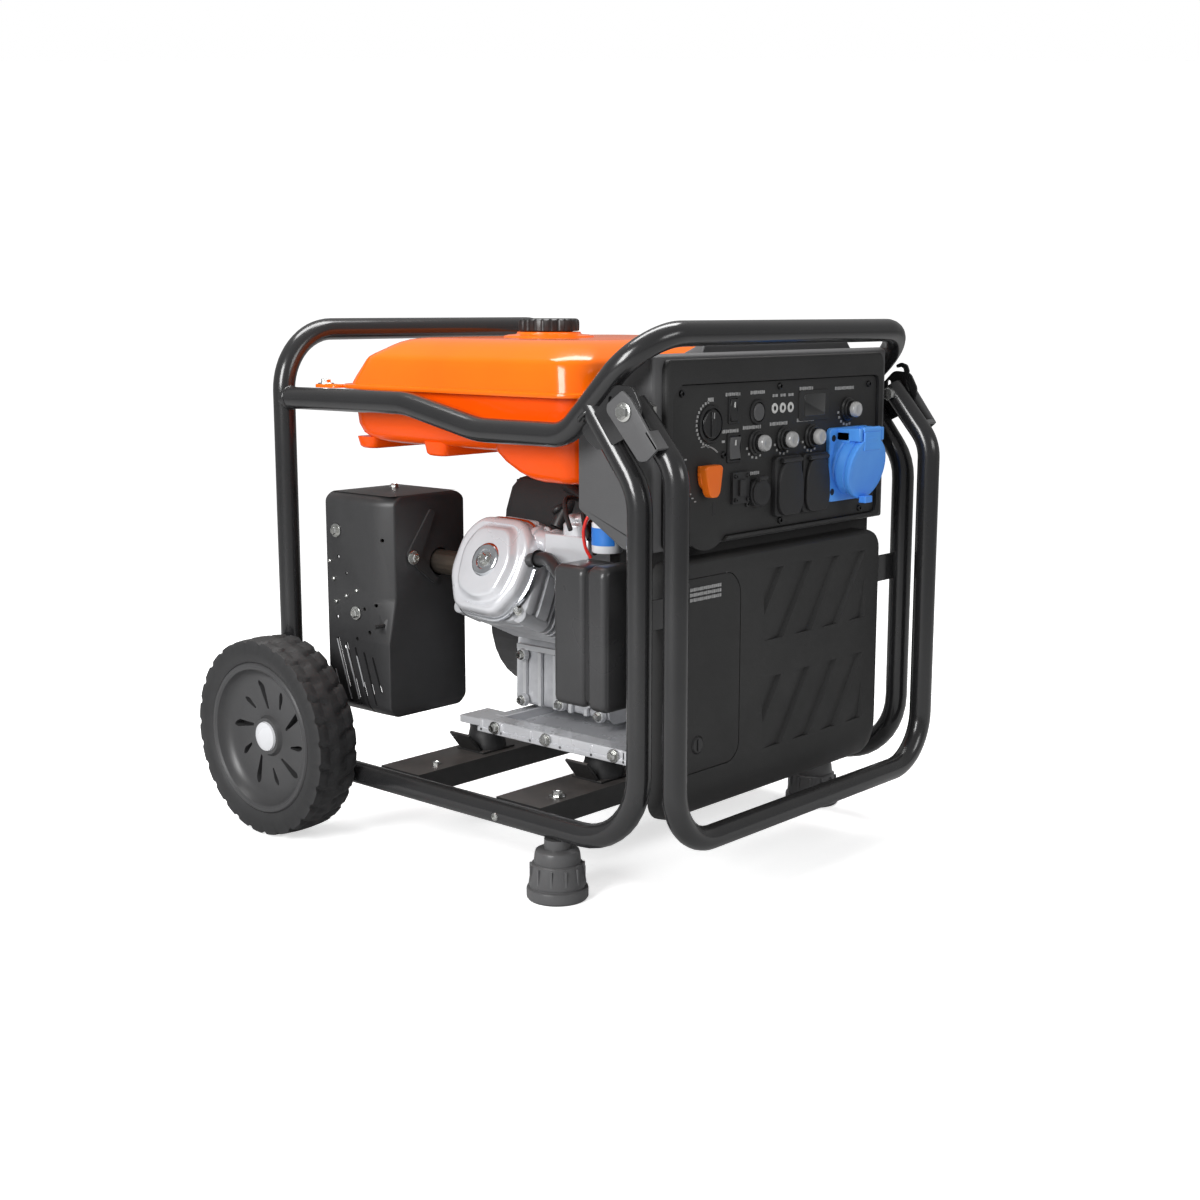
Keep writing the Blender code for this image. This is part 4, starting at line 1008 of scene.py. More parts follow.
upper = bmesh.new()
loft(upper, [tank_ring(z, inset, radius, rear) for z, inset, radius, rear in
             ((511, 6.0, 34, 0), (516, 7.0, 34, 0), (522, 8.0, 34, 3), (532, 9.6, 35, 9),
              (541, 11.0, 36, 14), (544.5, 12.4, 36, 16), (548, 16.0, 36, 18),
              (553, 22.5, 38, 20), (557, 28.0, 38, 21), (560.5, 34.0, 38, 22),
              (563.2, 41.0, 38, 23), (564.6, 48.0, 38, 24), (565.2, 56.0, 38, 25))])
settle(from_bmesh("tank_upper_shell", upper, 55), tank_orange, "frame",
       ["fuel_tank"])

lower = bmesh.new()
loft(lower, [tank_ring(z, inset, radius, rear, front) for z, inset, radius, rear, front in
             ((512, 8.0, 32, 0, 0), (470, 10.0, 32, 4, 0), (460, 12.0, 32, 8, 0),
              (453.5, 17.0, 30, 14, -4), (451, 23.0, 30, 20, -10), (449.5, 30.0, 28, 26, -17))])
# Painted shade: the lower shell takes the darker copy of the tank orange.
settle(from_bmesh("tank_lower_shell", lower, 50), tank_orange_painted_shade, "frame")

sump = bmesh.new()


def sump_ring(z, inset, rear_y, radius):
    return lift(rounded_rect(-TANK_X + 10 + inset, TANK_X - 10 - inset, TANK_FRONT + 10 + inset * 0.6,
                             rear_y, radius, 8), z, "XY")


loft(sump, [sump_ring(z, inset, rear_y, radius) for z, inset, rear_y, radius in
            ((470, 0, -42, 26), (450, 1, -49, 26), (440, 3, -60, 26), (430, 6, -77, 25),
             (424, 10, -91, 24), (421.2, 15, -102, 22), (420.4, 22, -112, 20))])
# The sump takes the same painted shade.
settle(from_bmesh("tank_sump", sump, 50), tank_orange_painted_shade, "frame")

feet = bmesh.new()
for y0, y1, low in ((142, 163, 441.5), (26, 52, 439.0)):
    loft(feet, [lift(rounded_rect(-196 + d, 196 - d, y0 - 5 + d, y1 + 5 - d, 8, 4), z, "XY")
                for z, d in ((455, 0), (low + 3, 2), (low + 0.8, 4), (low, 7))])
# The bottom ridges take the same painted shade.
settle(from_bmesh("tank_bottom_ridges", feet, 50), tank_orange_painted_shade, "frame")

seam = bmesh.new()
outline = rounded_rect(-TANK_X, TANK_X, TANK_FRONT, TANK_REAR, 36, 10)
loft(seam, [lift(grow(outline, g), z, "XY") for g, z in
            ((0.2, 508.6), (1.6, 509.2), (2.0, 510.6), (2.0, 511.6), (1.6, 513.0), (0.2, 513.6),
             (-7, 513.8))])
for side in (-1, 1):
    tab = rounded_rect(side * 207 - 10, side * 207 + 10, 176, 214, 7, 4)
    loft(seam, [lift(grow(tab, g), z, "XY") for g, z in ((0, 509), (0, 512), (-0.8, 512.8))])
    hex_bolt(bolts, (side * 207, 203, 512.6), "Z", 10, 5, 9)
settle(from_bmesh("tank_seam", seam, 50), tank_orange, "frame")
print("tank length", TANK_REAR - TANK_FRONT, "mm, width", 2 * TANK_X, "mm")

# %% [markdown]
# ## Filler neck and cap
# The cap's grip is made by pulling two of every six points inward, all the way round.

# %% Filler neck and cap
CAP = (-30.0, 22.0, 0.0)
neck = lathe("filler_neck",
             [(52, 564.6), (51, 566.6), (46, 568.0), (38, 568.4), (36.5, 569.4), (36, 571.0),
              (27, 571.2), (26, 575), (22, 575), (22, 560), (52, 560)], CAP, "Z", 72)
settle(neck, tank_orange, "frame")
cap = bmesh.new()
rim_rows = []
for h, depth, r in ((571.8, 0.0, 33.0), (572.6, 0.6, 34.4), (576, 1.2, 34.6), (581.5, 1.2, 34.6),
                    (584.0, 0.8, 34.0), (585.4, 0.2, 32.6), (586.0, 0.0, 30.8),
                    (585.4, 0.0, 28.0), (585.2, 0.0, 6.0)):
    ring = []
    for k in range(144):
        t = math.tau * k / 144
        rib = depth * (1.0 if (k % 6) in (0, 1) else 0.0)
        ring.append((CAP[0] + (r - rib) * math.cos(t), CAP[1] + (r - rib) * math.sin(t), h))
    rim_rows.append(ring)
loft(cap, rim_rows)
settle(from_bmesh("ribbed_fuel_cap", cap, 28), control_black, "cap", ["fuel_cap"])
print("tank done")

# %% [markdown]
# ## Engine
# The engine is a horizontal-shaft single whose barrel leans 25 degrees up
# towards the left side. A small function gives points along that leaning axis, so
# every casting can be described as if the barrel stood straight.

# %% Engine axis
CRANK_X, CRANK_Z, CYL_Y, TILT = 35.0, 230.0, -15.0, math.radians(25.0)


def bore_point(s, t=0.0, y=0.0):
    return (CRANK_X - s * math.cos(TILT) + t * math.sin(TILT), CYL_Y + y,
            CRANK_Z + s * math.sin(TILT) + t * math.cos(TILT))


BORE_AXIS = (-math.cos(TILT), 0.0, math.sin(TILT))


def along_bore(outline, s):
    """Put a flat (across, up) outline square to the barrel at distance s."""
    return [bore_point(s, t, y) for y, t in outline]


print("barrel top near", tuple(round(c, 1) for c in bore_point(165)))

# %% [markdown]
# ## Barrel, head and rocker cover
# Seven fins stand square to the leaning axis. The rocker cover blends one outline
# into another as it rises, so its corners turn from wide to tight without a seam.

# %% Barrel, head and rocker cover
fins = bmesh.new()
fin = rounded_rect(-54, 54, -54, 54, 14, 5)
core = rounded_rect(-44, 44, -44, 44, 20, 5)
loft(fins, [along_bore(core, 104), along_bore(core, 165)])
for k in range(7):
    s = 108 + 8.4 * k
    loft(fins, [along_bore(grow(fin, g), s + d) for g, d in ((-0.8, 0), (0, 0.7), (0, 2.0),
                                                             (-0.8, 2.8))])
settle(from_bmesh("finned_barrel", fins), cast_alloy, "frame", ["cylinder"])

head = bmesh.new()
head_shape = soft_corners([(-54, 50), (-40, 56), (40, 56), (56, 48), (56, -44), (38, -56),
                           (-38, -56), (-56, -44)], 9, 4)
loft(head, [along_bore(grow(head_shape, g), s) for g, s in
            ((-1.5, 165.6), (0, 167), (0, 182), (-2.5, 184), (-2.5, 189), (0, 191), (0, 199.5),
             (-1.0, 201))])
for y, t in ((-46, 46), (46, 46), (-46, -46), (46, -46)):
    spin(head, [(0, -12), (9, -12), (9, 24), (8, 25), (0, 25)], bore_point(176, t, y),
         BORE_AXIS, 20)
settle(from_bmesh("cylinder_head_casting", head), cast_alloy, "frame",
       ["cylinder_head"])

cover_shape = soft_corners([(-34, 56), (30, 57), (54, 34), (58, -14), (34, -56), (-30, -58),
                            (-55, -22), (-57, 30)], 15, 5)
flange = bmesh.new()
loft(flange, [along_bore(grow(cover_shape, g), s) for g, s in
              ((0.5, 204.4), (1.6, 205.2), (1.6, 208.2), (0.2, 209.2), (-1.4, 209.4))])
settle(from_bmesh("cover_flange", flange), bright_rim, "frame")
shell = bmesh.new()
inner_shape = soft_corners([(-26, 40), (20, 40), (36, 14), (30, -30), (0, -42), (-30, -34),
                            (-40, 4)], 12, 5)


def resample(outline, count):
    """The same outline with a chosen number of evenly spaced points."""
    pts = [Vector(p) for p in outline] + [Vector(outline[0])]
    lengths = [0.0]
    for a, b in zip(pts, pts[1:]):
        lengths.append(lengths[-1] + (b - a).length)
    out = []
    for k in range(count):
        want = lengths[-1] * k / count
        i = max(j for j in range(len(lengths) - 1) if lengths[j] <= want + 1e-9)
        share = (want - lengths[i]) / max(lengths[i + 1] - lengths[i], 1e-9)
        out.append(tuple(pts[i].lerp(pts[i + 1], share)))
    return out


def start_at_top(outline):
    """Turn the list so that it starts at the point nearest straight up."""
    k = max(range(len(outline)), key=lambda i: outline[i][1] - abs(outline[i][0] - 2) * 0.6)
    return outline[k:] + outline[:k]


outer = start_at_top(resample(cover_shape, 96))
inner = start_at_top(resample(inner_shape, 96))


def between(share):
    return [(a[0] * (1 - share) + b[0] * share, a[1] * (1 - share) + b[1] * share)
            for a, b in zip(outer, inner)]


loft(shell, [along_bore(grow(between(share), g), s) for share, g, s in
             ((0, -1.6, 208.8), (0, -2.2, 217), (0, -3.6, 221.5), (0, -6.5, 224.4),
              (0, -10.5, 225.4), (0.55, -2.0, 224.2), (0.75, 0.0, 224.4), (0.9, 0.6, 226.5),
              (1, 0, 230.0), (1, -1.6, 232.0), (1, -4.4, 232.8), (1, -12, 232.6))])
settle(from_bmesh("rocker_cover", shell, 42), silver_paint, "frame",
       ["head_cover"])
boss = bmesh.new()
centre = bore_point(232.2, 2, -4)
spin(boss, [(19.0, -1), (19.0, 0.6), (17.6, 2.2), (15.0, 2.9), (11.6, 2.2), (10.6, 0.6),
            (0, 0.4)], centre, BORE_AXIS, 48)
settle(from_bmesh("cover_boss", boss), bright_rim, "frame")
crown = bmesh.new()
hex_bolt(crown, bore_point(232.6, 2, -4), BORE_AXIS, 10, 5.5, 8.5)
for y, t in ((-47, 40), (47, 30), (40, -46), (-44, -42)):
    hex_bolt(crown, bore_point(201.0, t, y), BORE_AXIS, 8, 4, 6)
settle(from_bmesh("cover_bolts", crown), zinc, "frame")
print("top end done")

# %% [markdown]
# ## Crankcase
# A sand-cast box with stiffening ribs, bosses for its bolts and a sump that
# flares into the sole. The plain measured solid is replaced by a casting with
# those features, all inside the same outline.

# %% Crankcase casting
case = bmesh.new()
outline = soft_corners([(-60, 136), (116, 136), (116, 292), (92, 314), (8, 314), (-40, 262),
                        (-58, 214)], 14, 5)
loft(case, [lift(grow(outline, -g), y, "XZ") for y, g in
            ((-96, 0), (-92, 3), (-20, 4), (44, 2), (49, 0))])
for y in (-88, -64, -40, -16, 8, 32):
    block(case, (-61.5, y, 142), (-58, y + 5, 205))
block(case, (-62, -96, 206), (-57, 46, 212))
CASE_BOLTS = ((-84, 200), (36, 200), (-84, 146), (36, 146), (-24, 150))
for y, z in CASE_BOLTS:
    spin(case, [(0, 0), (8, 0), (7, 5.5), (0, 5.5)], (-60.0, y, z), "-X", 20)
spin(case, [(0, 0), (22, 0), (21, 9), (16, 11), (0, 11)], (-55, -60, 172), "-X", 28)
settle(from_bmesh("crankcase_casting", case), cast_alloy, "frame",
       ["crankcase"])
for y, z in CASE_BOLTS:
    hex_bolt(bolts, (-65.4, y, z), "-X", 8, 4, 6)
sole = bmesh.new()
block(sole, (-125, -186, 118), (125, 49, 124))
for side in (-1, 1):
    block(sole, (min(side * 108, side * 62), 40, 118), (max(side * 108, side * 62), 96, 127))
    block(sole, (side * 112 - 12, -184, 123.5), (side * 112 + 12, 47, 134))
    for y in (-176, -130, -84, -38, 8, 40):
        block(sole, (side * 112 - 13, y, 119), (side * 112 + 13, y + 5, 133))
block(sole, (-125, -184, 123.5), (125, -172, 134))
block(sole, (-100, 30, 123.5), (100, 46, 134))
settle(soften(from_bmesh("engine_sole", sole), 1.2, 2), silver_paint, "frame",
       ["engine_base"])
for y in (-160, -60, 20):
    hex_bolt(bolts, (-125.4, y, 126.5), "-X", 9, 5, 7.5)
print("crankcase and sole cast, bolts so far:", len(bolts.verts), "points")

# %% [markdown]
# ## Hoses, leads and carburettor
# Soft things follow a smooth curve through a few points. Hard things are lathed
# and blocked out, then their edges are softened.

# %% Oil filler, hose, plug and carburettor
plug = bmesh.new()
spin(plug, [(0, 0), (15.5, 0), (15.5, 3), (12.5, 4), (12.5, 12), (11.5, 14.5), (4, 15), (4, 19),
            (0, 19)], (-62.8, -60, 172), "-X", 24)
block(plug, (-81.0, -61.6, 162), (-72, -58.4, 182))
settle(from_bmesh("oil_dipstick_cap", plug), control_black, "oil_cap",
       ["oil_filler_cap"])
hose = flowing([(-155, -66, 331), (-160, -82, 335), (-166, -104, 337), (-177, -124, 333),
                (-186, -142, 326), (-189, -157, 323)])
settle(pipe("breather_tube", hose, 7.6, 4), hose_rubber, "frame",
       ["breather_hose"])
clips = bmesh.new()
bead(clips, (-161.5, -86, 335.6), (-0.3, -0.95, 0.08), 8.4, 1.2, 20)
bead(clips, (-187.4, -148, 324.6), (-0.15, -0.98, -0.12), 8.4, 1.2, 20)
settle(from_bmesh("hose_clips", clips), dark_bolt, "frame")
boot = pipe("plug_boot", flowing([bore_point(182, 60, -44), bore_point(181, 74, -46),
                                  bore_point(178, 90, -50), bore_point(168, 104, -54)]), 8, 4)
settle(boot, hose_rubber, "frame", ["spark_plug_cap"])
lead = pipe("ignition_lead", flowing([bore_point(168, 104, -54), bore_point(150, 112, -54),
                                      (-104, -60, 382), (-84, -40, 372), (-60, -10, 352),
                                      (-40, 20, 330)]), 3.6, 3)
settle(lead, hose_rubber, "frame")
carb = bmesh.new()
block(carb, (-150, -146, 332), (-114, -84, 362))
spin(carb, [(0, 0), (18, 0), (18, 12), (15, 14), (15, 20), (11, 22), (0, 22)],
     (-131, -118, 361), "Z", 28)
spin(carb, [(0, 0), (16, 0), (16, 4), (13, 6), (13, 22), (17, 24), (17, 30), (0, 30)],
     (-131, -84, 348), "Y", 28)
spin(carb, [(0, 0), (14, 0), (14, 9), (0, 9)], (-131, -118, 323), "Z", 24)
settle(soften(from_bmesh("carburettor_body", carb), 1.4, 2), silver_paint, "frame",
       ["carburettor"])
can = bmesh.new()
spin(can, [(0, 0), (15, 0), (16, 1.5), (16, 30), (14.5, 32), (6, 32), (6, 38), (0, 38)],
     (-160, -182, 352), "Z", 32)
settle(from_bmesh("fuel_filter_can", can), white_plastic, "frame")
label = bmesh.new()
spin(label, [(16.3, 0), (16.3, 18)], (-160, -182, 360), "Z", 32)
doomed = [v for v in label.verts if not (math.cos(math.radians(190)) * (v.co.x + 160)
          + math.sin(math.radians(190)) * (v.co.y + 182) > 6)]
bmesh.ops.delete(label, geom=doomed, context="VERTS")
tape = from_bmesh("filter_band", label)
solid = tape.modifiers.new("Thickness", "SOLIDIFY")
solid.thickness = 0.0004
settle(bake_shape(tape), blue_tape, "frame")
settle(pipe("red_lead", flowing([(-150, -196, 392), (-163, -186, 398), (-174, -172, 392),
                                 (-178, -166, 376), (-176, -166, 358), (-172, -170, 346)]), 1.8, 3),
       red_wire, "frame")
# The fan's air guide is the dark moulding that fills the space over the crankcase.
guide = bmesh.new()
loft(guide, [lift(rounded_rect(-96 + d, 118 - d, -150 + d, 44 - d, 18, 5), z, "XY")
             for z, d in ((318, 0), (372, 3), (398, 8), (408, 14), (412, 24))])
for x in (-60, -20, 20, 60):
    block(guide, (x, -152, 330), (x + 6, 46, 404))
settle(from_bmesh("air_guide", guide, 30), rubber_black, "frame")
cowl_plate = bmesh.new()
plate_outline = soft_corners([(-34, -44), (-34, 60), (18, 62), (66, 44), (68, -14), (52, -44)],
                             6, 4)
loft(cowl_plate, [along_bore(grow(plate_outline, g), s) for g, s in
                  ((-1.5, 186), (0, 187.5), (0, 199.0), (-2.0, 201.5))])
settle(from_bmesh("head_cowl", cowl_plate), cast_alloy, "frame")
harness = flowing([(-70, -152, 332), (-96, -150, 356), (-104, -120, 384), (-90, -70, 402),
                   (-60, -20, 398)])
settle(pipe("wiring_sleeve", harness, 5.5, 4), hose_rubber, "frame")
for k, (y, z) in enumerate(((-146, 372), (-138, 386), (-112, 394))):
    run = flowing([(-112, y, z), (-140, y + 4, z + 6), (-158, y - 10, z - 6),
                   (-168, y - 26, z - 22)])
    settle(pipe("engine_lead_%d" % (k + 1), run, 2.6, 3), hose_rubber, "frame")
print("fuel and ignition details done")

# %% [markdown]
# ## Air filter box
# Two moulded halves meet at a deep groove. The edges are generously rounded, so
# light runs along them in bright lines.

# %% Air filter box
def tub(name, lo, hi, corner, edge):
    """A moulded box lying along Y: rounded corners, and both ends rounded over."""
    outline = rounded_rect(lo[0], hi[0], lo[2], hi[2], corner, 6)
    bm = bmesh.new()
    rings = []
    for k in range(5):
        t = math.pi / 2 * k / 4
        rings.append(lift(grow(outline, -edge * (1 - math.sin(t))), lo[1] + edge * (1 - math.cos(t)),
                          "XZ"))
    for k in range(5):
        t = math.pi / 2 * k / 4
        rings.append(lift(grow(outline, -edge * (1 - math.cos(t))), hi[1] - edge * (1 - math.sin(t)),
                          "XZ"))
    loft(bm, rings)
    return from_bmesh(name, bm)


settle(tub("filter_box_body", (-216, -200.0, 200), (-160, -157, 344), 9, 7), airbox_black,
       "frame", ["airbox_body"])
settle(tub("filter_box_lid", (-217, -229, 198), (-160, -203.5, 346), 11, 7), airbox_black,
       "frame", ["airbox_cover"])
neck_band = tub("filter_box_joint", (-213, -205, 203), (-163, -198, 341), 8, 1)
settle(neck_band, control_black, "frame")
print("filter box done")

# %% [markdown]
# ## Silencer and its guard
# A folded sheet guard wraps the silencer. Its outer face has small round holes and
# a fan of slanted slots, its front left edge leans in towards the top, and its lid
# is a shallow roof with one bolt at the ridge.

# %% Silencer guard
outline = soft_corners([(-215, 149), (-205, 140), (-106, 140), (-96, 149), (-96, 384),
                        (-106, 391), (-206, 391), (-215, 384), (-215, 275), (-215, 222)], 5, 4)
guard = bmesh.new()


def chamfered(points, y):
    """Lean the left front edge in: 12 mm at the top, hardly at all near the bottom."""
    depth = max(0.0, 1.0 - (y - 98.0) / 24.0)
    out = []
    for x, z in points:
        lean_in = 12.0 * min(1.0, max(0.12, (z - 222.0) / 53.0)) * depth
        out.append((x + (lean_in if x < -190 else 0.0), y, z))
    return out


loft(guard, [chamfered(grow(outline, g), y) for g, y in
             ((-2.0, 96.2), (-0.6, 96.8), (0, 98.2), (0, 122), (0, 200), (-2.2, 200),
              (-2.2, 122.5), (-2.2, 98.6))])
guard = from_bmesh("silencer_guard", guard)
tools = bmesh.new()
for y, z, r in ((110, 342, 2.2), (118, 268, 2.2), (136, 262, 2.2), (108, 246, 2.4),
                (128, 236, 2.4), (150, 226, 2.4), (166, 300, 2.0), (180, 318, 2.0),
                (172, 214, 2.4), (184, 248, 2.2)):
    spin(tools, [(0, -10), (r, -10), (r, 10), (0, 10)], (-215, y, z), "X", 14)
for k in range(5):
    y0 = 112 + 15 * k
    long = (56, 70, 76, 60, 40)[k]
    top = 224 - 4 * k
    path = [(297.6 - y0, top), (294.4 - y0, top), (294.4 - y0 - long * 0.34, top - long),
            (297.6 - y0 - long * 0.34, top - long)]
    loft(tools, [lift(soft_corners(path, 1.4, 3), x, "YZ") for x in (-222, -208)])
spin(tools, [(0, -12), (16, -12), (16, 12), (0, 12)], (-135, 97, 312), "Y", 32)
bake_shape(cut(guard, from_bmesh("holes", tools)))
settle(guard, guard_black, "frame", ["muffler_guard"])
roof = bmesh.new()
loft(roof, [[(-206, 98, 391.4), (-106, 98, 391.4), (-106, 198, 391.4), (-206, 198, 391.4)],
            [(-160, 140, 395.0), (-152, 140, 395.0), (-152, 156, 395.0), (-160, 156, 395.0)]])
settle(from_bmesh("guard_lid", roof, 8), guard_black, "frame")
stays = bmesh.new()
gusset = [(-186, 326), (-150, 374), (-143, 370), (-166, 322), (-140, 292), (-146, 288), (-182, 316)]
loft(stays, [lift(soft_corners(gusset, 3, 3), y, "XZ") for y in (96.6, 93.6)])
settle(from_bmesh("guard_stays", stays), guard_black, "frame")
hex_bolt(bolts, (-156, 148, 394.6), "Z", 8, 3.4, 6)
for y, z in ((182, 348), (150, 256)):
    hex_bolt(bolts, (-215.6, y, z), "-X", 9, 4, 8)
for y, z in ((194, 312), (188, 292), (166, 274), (148, 282), (184, 266)):
    screw_head(bolts, (-215.0, y, z), "-X", 2.6)
# Pale strips along slot edges of the black guard: painted highlights.
slot_painted_highlights = bmesh.new()
for y0, top, long in ((186, 222, 68), (170, 216, 60), (152, 206, 34), (190, 186, 30)):
    loft(slot_painted_highlights, [lift([(y0, top), (y0 - 1.4, top), (y0 - 1.4 - long * 0.34, top - long),
                           (y0 - long * 0.34, top - long)], x, "YZ") for x in (-215.6, -214.6)])
settle(from_bmesh("slot_painted_highlights", slot_painted_highlights), cast_alloy, "frame")
hex_bolt(bolts, (-178, 93.8, 321), "-Y", 9, 5, 8)
repaint(hot_steel, "muffler")
print("guard done")

# %% [markdown]
# ## Alternator, fan shroud and rubber mounts
# These turned shapes were measured well, so the frame's own pieces stay and take
# a casting or a paint finish. The mounts get brackets and studs.

# %% Turned castings and mounts
repaint(cast_alloy, "alternator_housing")
repaint(hot_steel, "alternator_rotor")
repaint(zinc, "crankshaft")
repaint(guard_black, "blower_shroud")
ribs = bmesh.new()
for k in range(16):
    turn = Matrix.Translation(Vector((CRANK_X, 0, CRANK_Z))) @ Matrix.Rotation(
        math.tau * k / 16, 4, "Y")
    block(ribs, (94.2, -190, -1.6), (97.2, -106, 1.6), turn)
settle(soften(from_bmesh("alternator_ribs", ribs), 0.6, 2), cast_alloy, "frame")
MOUNTS = (("mount_front_left", -85, -108), ("mount_front_right", 85, -108),
          ("mount_rear_left", -85, 76), ("mount_rear_right", 85, 76))
for name, x, y in MOUNTS:
    pad = lathe(name + "_rubber", [(0, 117.4), (18, 117.4), (19, 116), (18.4, 112), (20, 104),
                                   (23, 96), (24, 91), (23.4, 87), (22, 86.4), (0, 86.4)],
                (x, y, 0), "Z", 40)
    settle(pad, rubber_black, "frame", [name])
brackets = bmesh.new()
for _, x, y in MOUNTS:
    side = -1 if x < 0 else 1
    block(brackets, (x - 26, y - 22, 86.1), (x + 26, y + 22, 88.6))
    loft(brackets, [lift(soft_corners([(x + side * 22, 88), (x + side * 26, 88),
                                       (x + side * 44, 110), (x + side * 41, 112)], 1, 2), yy, "XZ")
                    for yy in (y - 16, y + 16)])
    for dx in (-21, 21):
        hex_bolt(bolts, (x + dx, y + 17, 88.6), "Z", 7, 3.6)
settle(soften(from_bmesh("mount_brackets", brackets), 0.8, 2), chassis_black, "frame")
settle(from_bmesh("bolt_heads", bolts), zinc, "frame")
print("engine done")

# %% [markdown]
# ## Control box
# The box is a folded and moulded shell. Its side outline leans back at the top
# and is cut away at the rear bottom corner. Skinning that outline from left to
# right, with slightly smaller outlines at both ends, rounds the two side edges.

# %% Box shell
box_side = soft_corners([(-278, 364), (-240, 364), (-181, 400), (-181, 490), (-192, 500),
                         (-204, 511), (-250, 542), (-270, 555), (-278, 551)], 3, 3)
shell = bmesh.new()
loft(shell, [lift(grow(box_side, g), x, "YZ") for x, g in
             ((-204, -4), (-203.4, -1.6), (-202, -0.4), (-200, 0), (200, 0), (202, -0.4),
              (203.4, -1.6), (204, -4))])
box_shell = from_bmesh("control_box_shell", shell)
hollow = bmesh.new()
loft(hollow, [lift([(-274, 340), (-184.5, 340), (-184.5, 487), (-196, 497), (-250, 537),
                    (-268, 549), (-274, 546)], x, "YZ") for x in (-200.5, 200.5)])
bake_shape(cut(box_shell, from_bmesh("hollow", hollow)))
settle(box_shell, housing_grey, "frame", ["control_housing"])
shelf = bmesh.new()
block(shelf, (-200, -276, 364), (200, -258.5, 367))
block(shelf, (-200, -261.5, 338), (200, -258.5, 366))
settle(soften(from_bmesh("box_shelf", shelf), 0.8, 2), cover_black, "frame")

COWL_LEFT, COWL_RIGHT = -112, 159


def cowl_ring(inset, front, front_z, rear, rear_z):
    """Four corners of the raised cowl, front edge first."""
    x0, x1 = COWL_LEFT + inset, COWL_RIGHT - inset
    return [(x0, front, front_z), (x1, front, front_z), (x1, rear, rear_z), (x0, rear, rear_z)]


cowl = bmesh.new()
loft(cowl, [cowl_ring(0, -263, 549, -204, 512), cowl_ring(6, -261.5, 558, -228, 546),
            cowl_ring(9, -260, 563, -228, 549), cowl_ring(13, -256, 564.5, -228, 551.5)])
settle(soften(from_bmesh("raised_cowl", cowl, 30), 1.6, 3, 25), housing_grey, "frame")
print("box shell, shelf and cowl made")

# %% [markdown]
# ## Panel, bezel and print
# The panel is a flat plate with one round lobe for the lever. It sits in a
# bezel that stands a little proud, so a thin shadow runs around it. Lettering is
# replaced by rows of small raised bars: they read as print without saying a word.

# %% Panel plate and bezel
PANEL_Y, LOBE_X, LOBE_Z, LOBE_R = -281.3, -123.0, 402.0, 43.0
dip = math.asin((LOBE_Z - 371.5) / LOBE_R)
lobe = [(LOBE_X + LOBE_R * math.cos(a), LOBE_Z + LOBE_R * math.sin(a))
        for a in (math.pi + dip + (math.pi - 2 * dip) * k / 24 for k in range(25))]
plate_shape = ([(-180, 380), (-178, 374), (-172, 372)] + lobe + [(172, 372), (178, 374), (180, 380),
               (180, 516), (178, 522), (172, 524), (-166, 524), (-170, 522.4), (-178.6, 513.6),
               (-180, 510)])
plate = pillow("front_panel", plate_shape, "XZ", -278.3, PANEL_Y, 0.8)
settle(plate, panel_black, "frame", ["panel_plate"])
bezel_shape = soft_corners([(-190, 366), (190, 366), (191, 541), (186, 549), (-186, 549),
                            (-190, 541)], 8)
bezel = pillow("panel_bezel", bezel_shape, "XZ", -277.5, -284.4, 3.2, 5)
opening = bmesh.new()
loft(opening, [lift(grow(plate_shape, 0.8), y, "XZ") for y in (-270, -290)])
bake_shape(cut(bezel, from_bmesh("opening", opening)), 30)
settle(bezel, cover_black, "frame")

# Places on the panel, across and up; the prints, knobs and sockets all use them.
DIAL, LEVER, START, LOW_VOLTAGE = (-119, 484.5), (-127, 432), (-42, 493), (-43, 411)
BREAKERS = (("breaker_1", -44, 462), ("breaker_2", 4, 463), ("breaker_3", 54, 463),
            ("main_breaker", 122, 489))
prints = bmesh.new()


def mark(x, z, w, h, y=PANEL_Y):
    """One small bar of print, a fifth of a millimetre proud of the surface."""
    block(prints, (x - w / 2, y - 0.22, z - h / 2), (x + w / 2, y + 0.1, z + h / 2))


def label(x0, x1, z, h=3.6, y=PANEL_Y):
    """A row of bars of uneven width, standing in for a word."""
    x, k = x0, 0
    while x < x1 - 1.0:
        w = (2.6, 1.7, 3.2, 2.0, 2.8)[k % 5]
        mark(x + w / 2, z, min(w, x1 - x), h * (1.0, 0.86, 1.0)[k % 3], y)
        x += w + 0.7
        k += 1


def ticks(x, z, r, start, end, count, w=2.2, h=1.4):
    """Short marks on an arc around a control."""
    for k in range(count):
        a = math.radians(start + (end - start) * k / (count - 1))
        mark(x + r * math.cos(a), z + r * math.sin(a), w, h)


for x0, x1, z in ((-95, -72, 512.5), (-54, -30, 513), (-104, -74, 476), (-66, -36, 478),
                  (-20, 12, 479.5), (28, 60, 481), (32, 56, 514), (98, 134, 512), (-62, -36, 431)):
    label(x0, x1, z)
for x in (-12, 2, 16):
    label(x - 4, x + 5, 508.5, 3.0)
ticks(*DIAL, 22, 100, 262, 15, 2.6, 2.6)
ticks(*LEVER, 31, 52, 100, 14, 2.6, 1.0)
ticks(*LEVER, 27, 200, 236, 4, 3.0, 1.2)
mark(-166, 452, 20, 1.4)
for _, x, z in BREAKERS[:3]:
    ticks(x, z, 15.5, 200, 300, 5, 3.0, 2.4)
ticks(*BREAKERS[3][1:], 17, 190, 290, 6, 3.4, 2.6)
mark(-119, 508.5, 9, 4)
mark(-98, 466, 5, 2.4)
for k in range(3):
    ring = bmesh.new()
    spin(ring, [(2.4, 0), (5.4, 0), (5.4, 0.5), (4.6, 1.1), (3.0, 1.1), (2.4, 0.5)],
         (-12 + 14 * k, PANEL_Y, 495.5), "-Y", 28)
    settle(from_bmesh("lamp_ring_%d" % (k + 1), ring), lens_white, "frame")
for k in range(3):
    label(-156, -106, 313.0 + 5.2 * k, 3.4, -287.2)
settle(from_bmesh("panel_print", prints), print_white, "frame")
print("panel done")

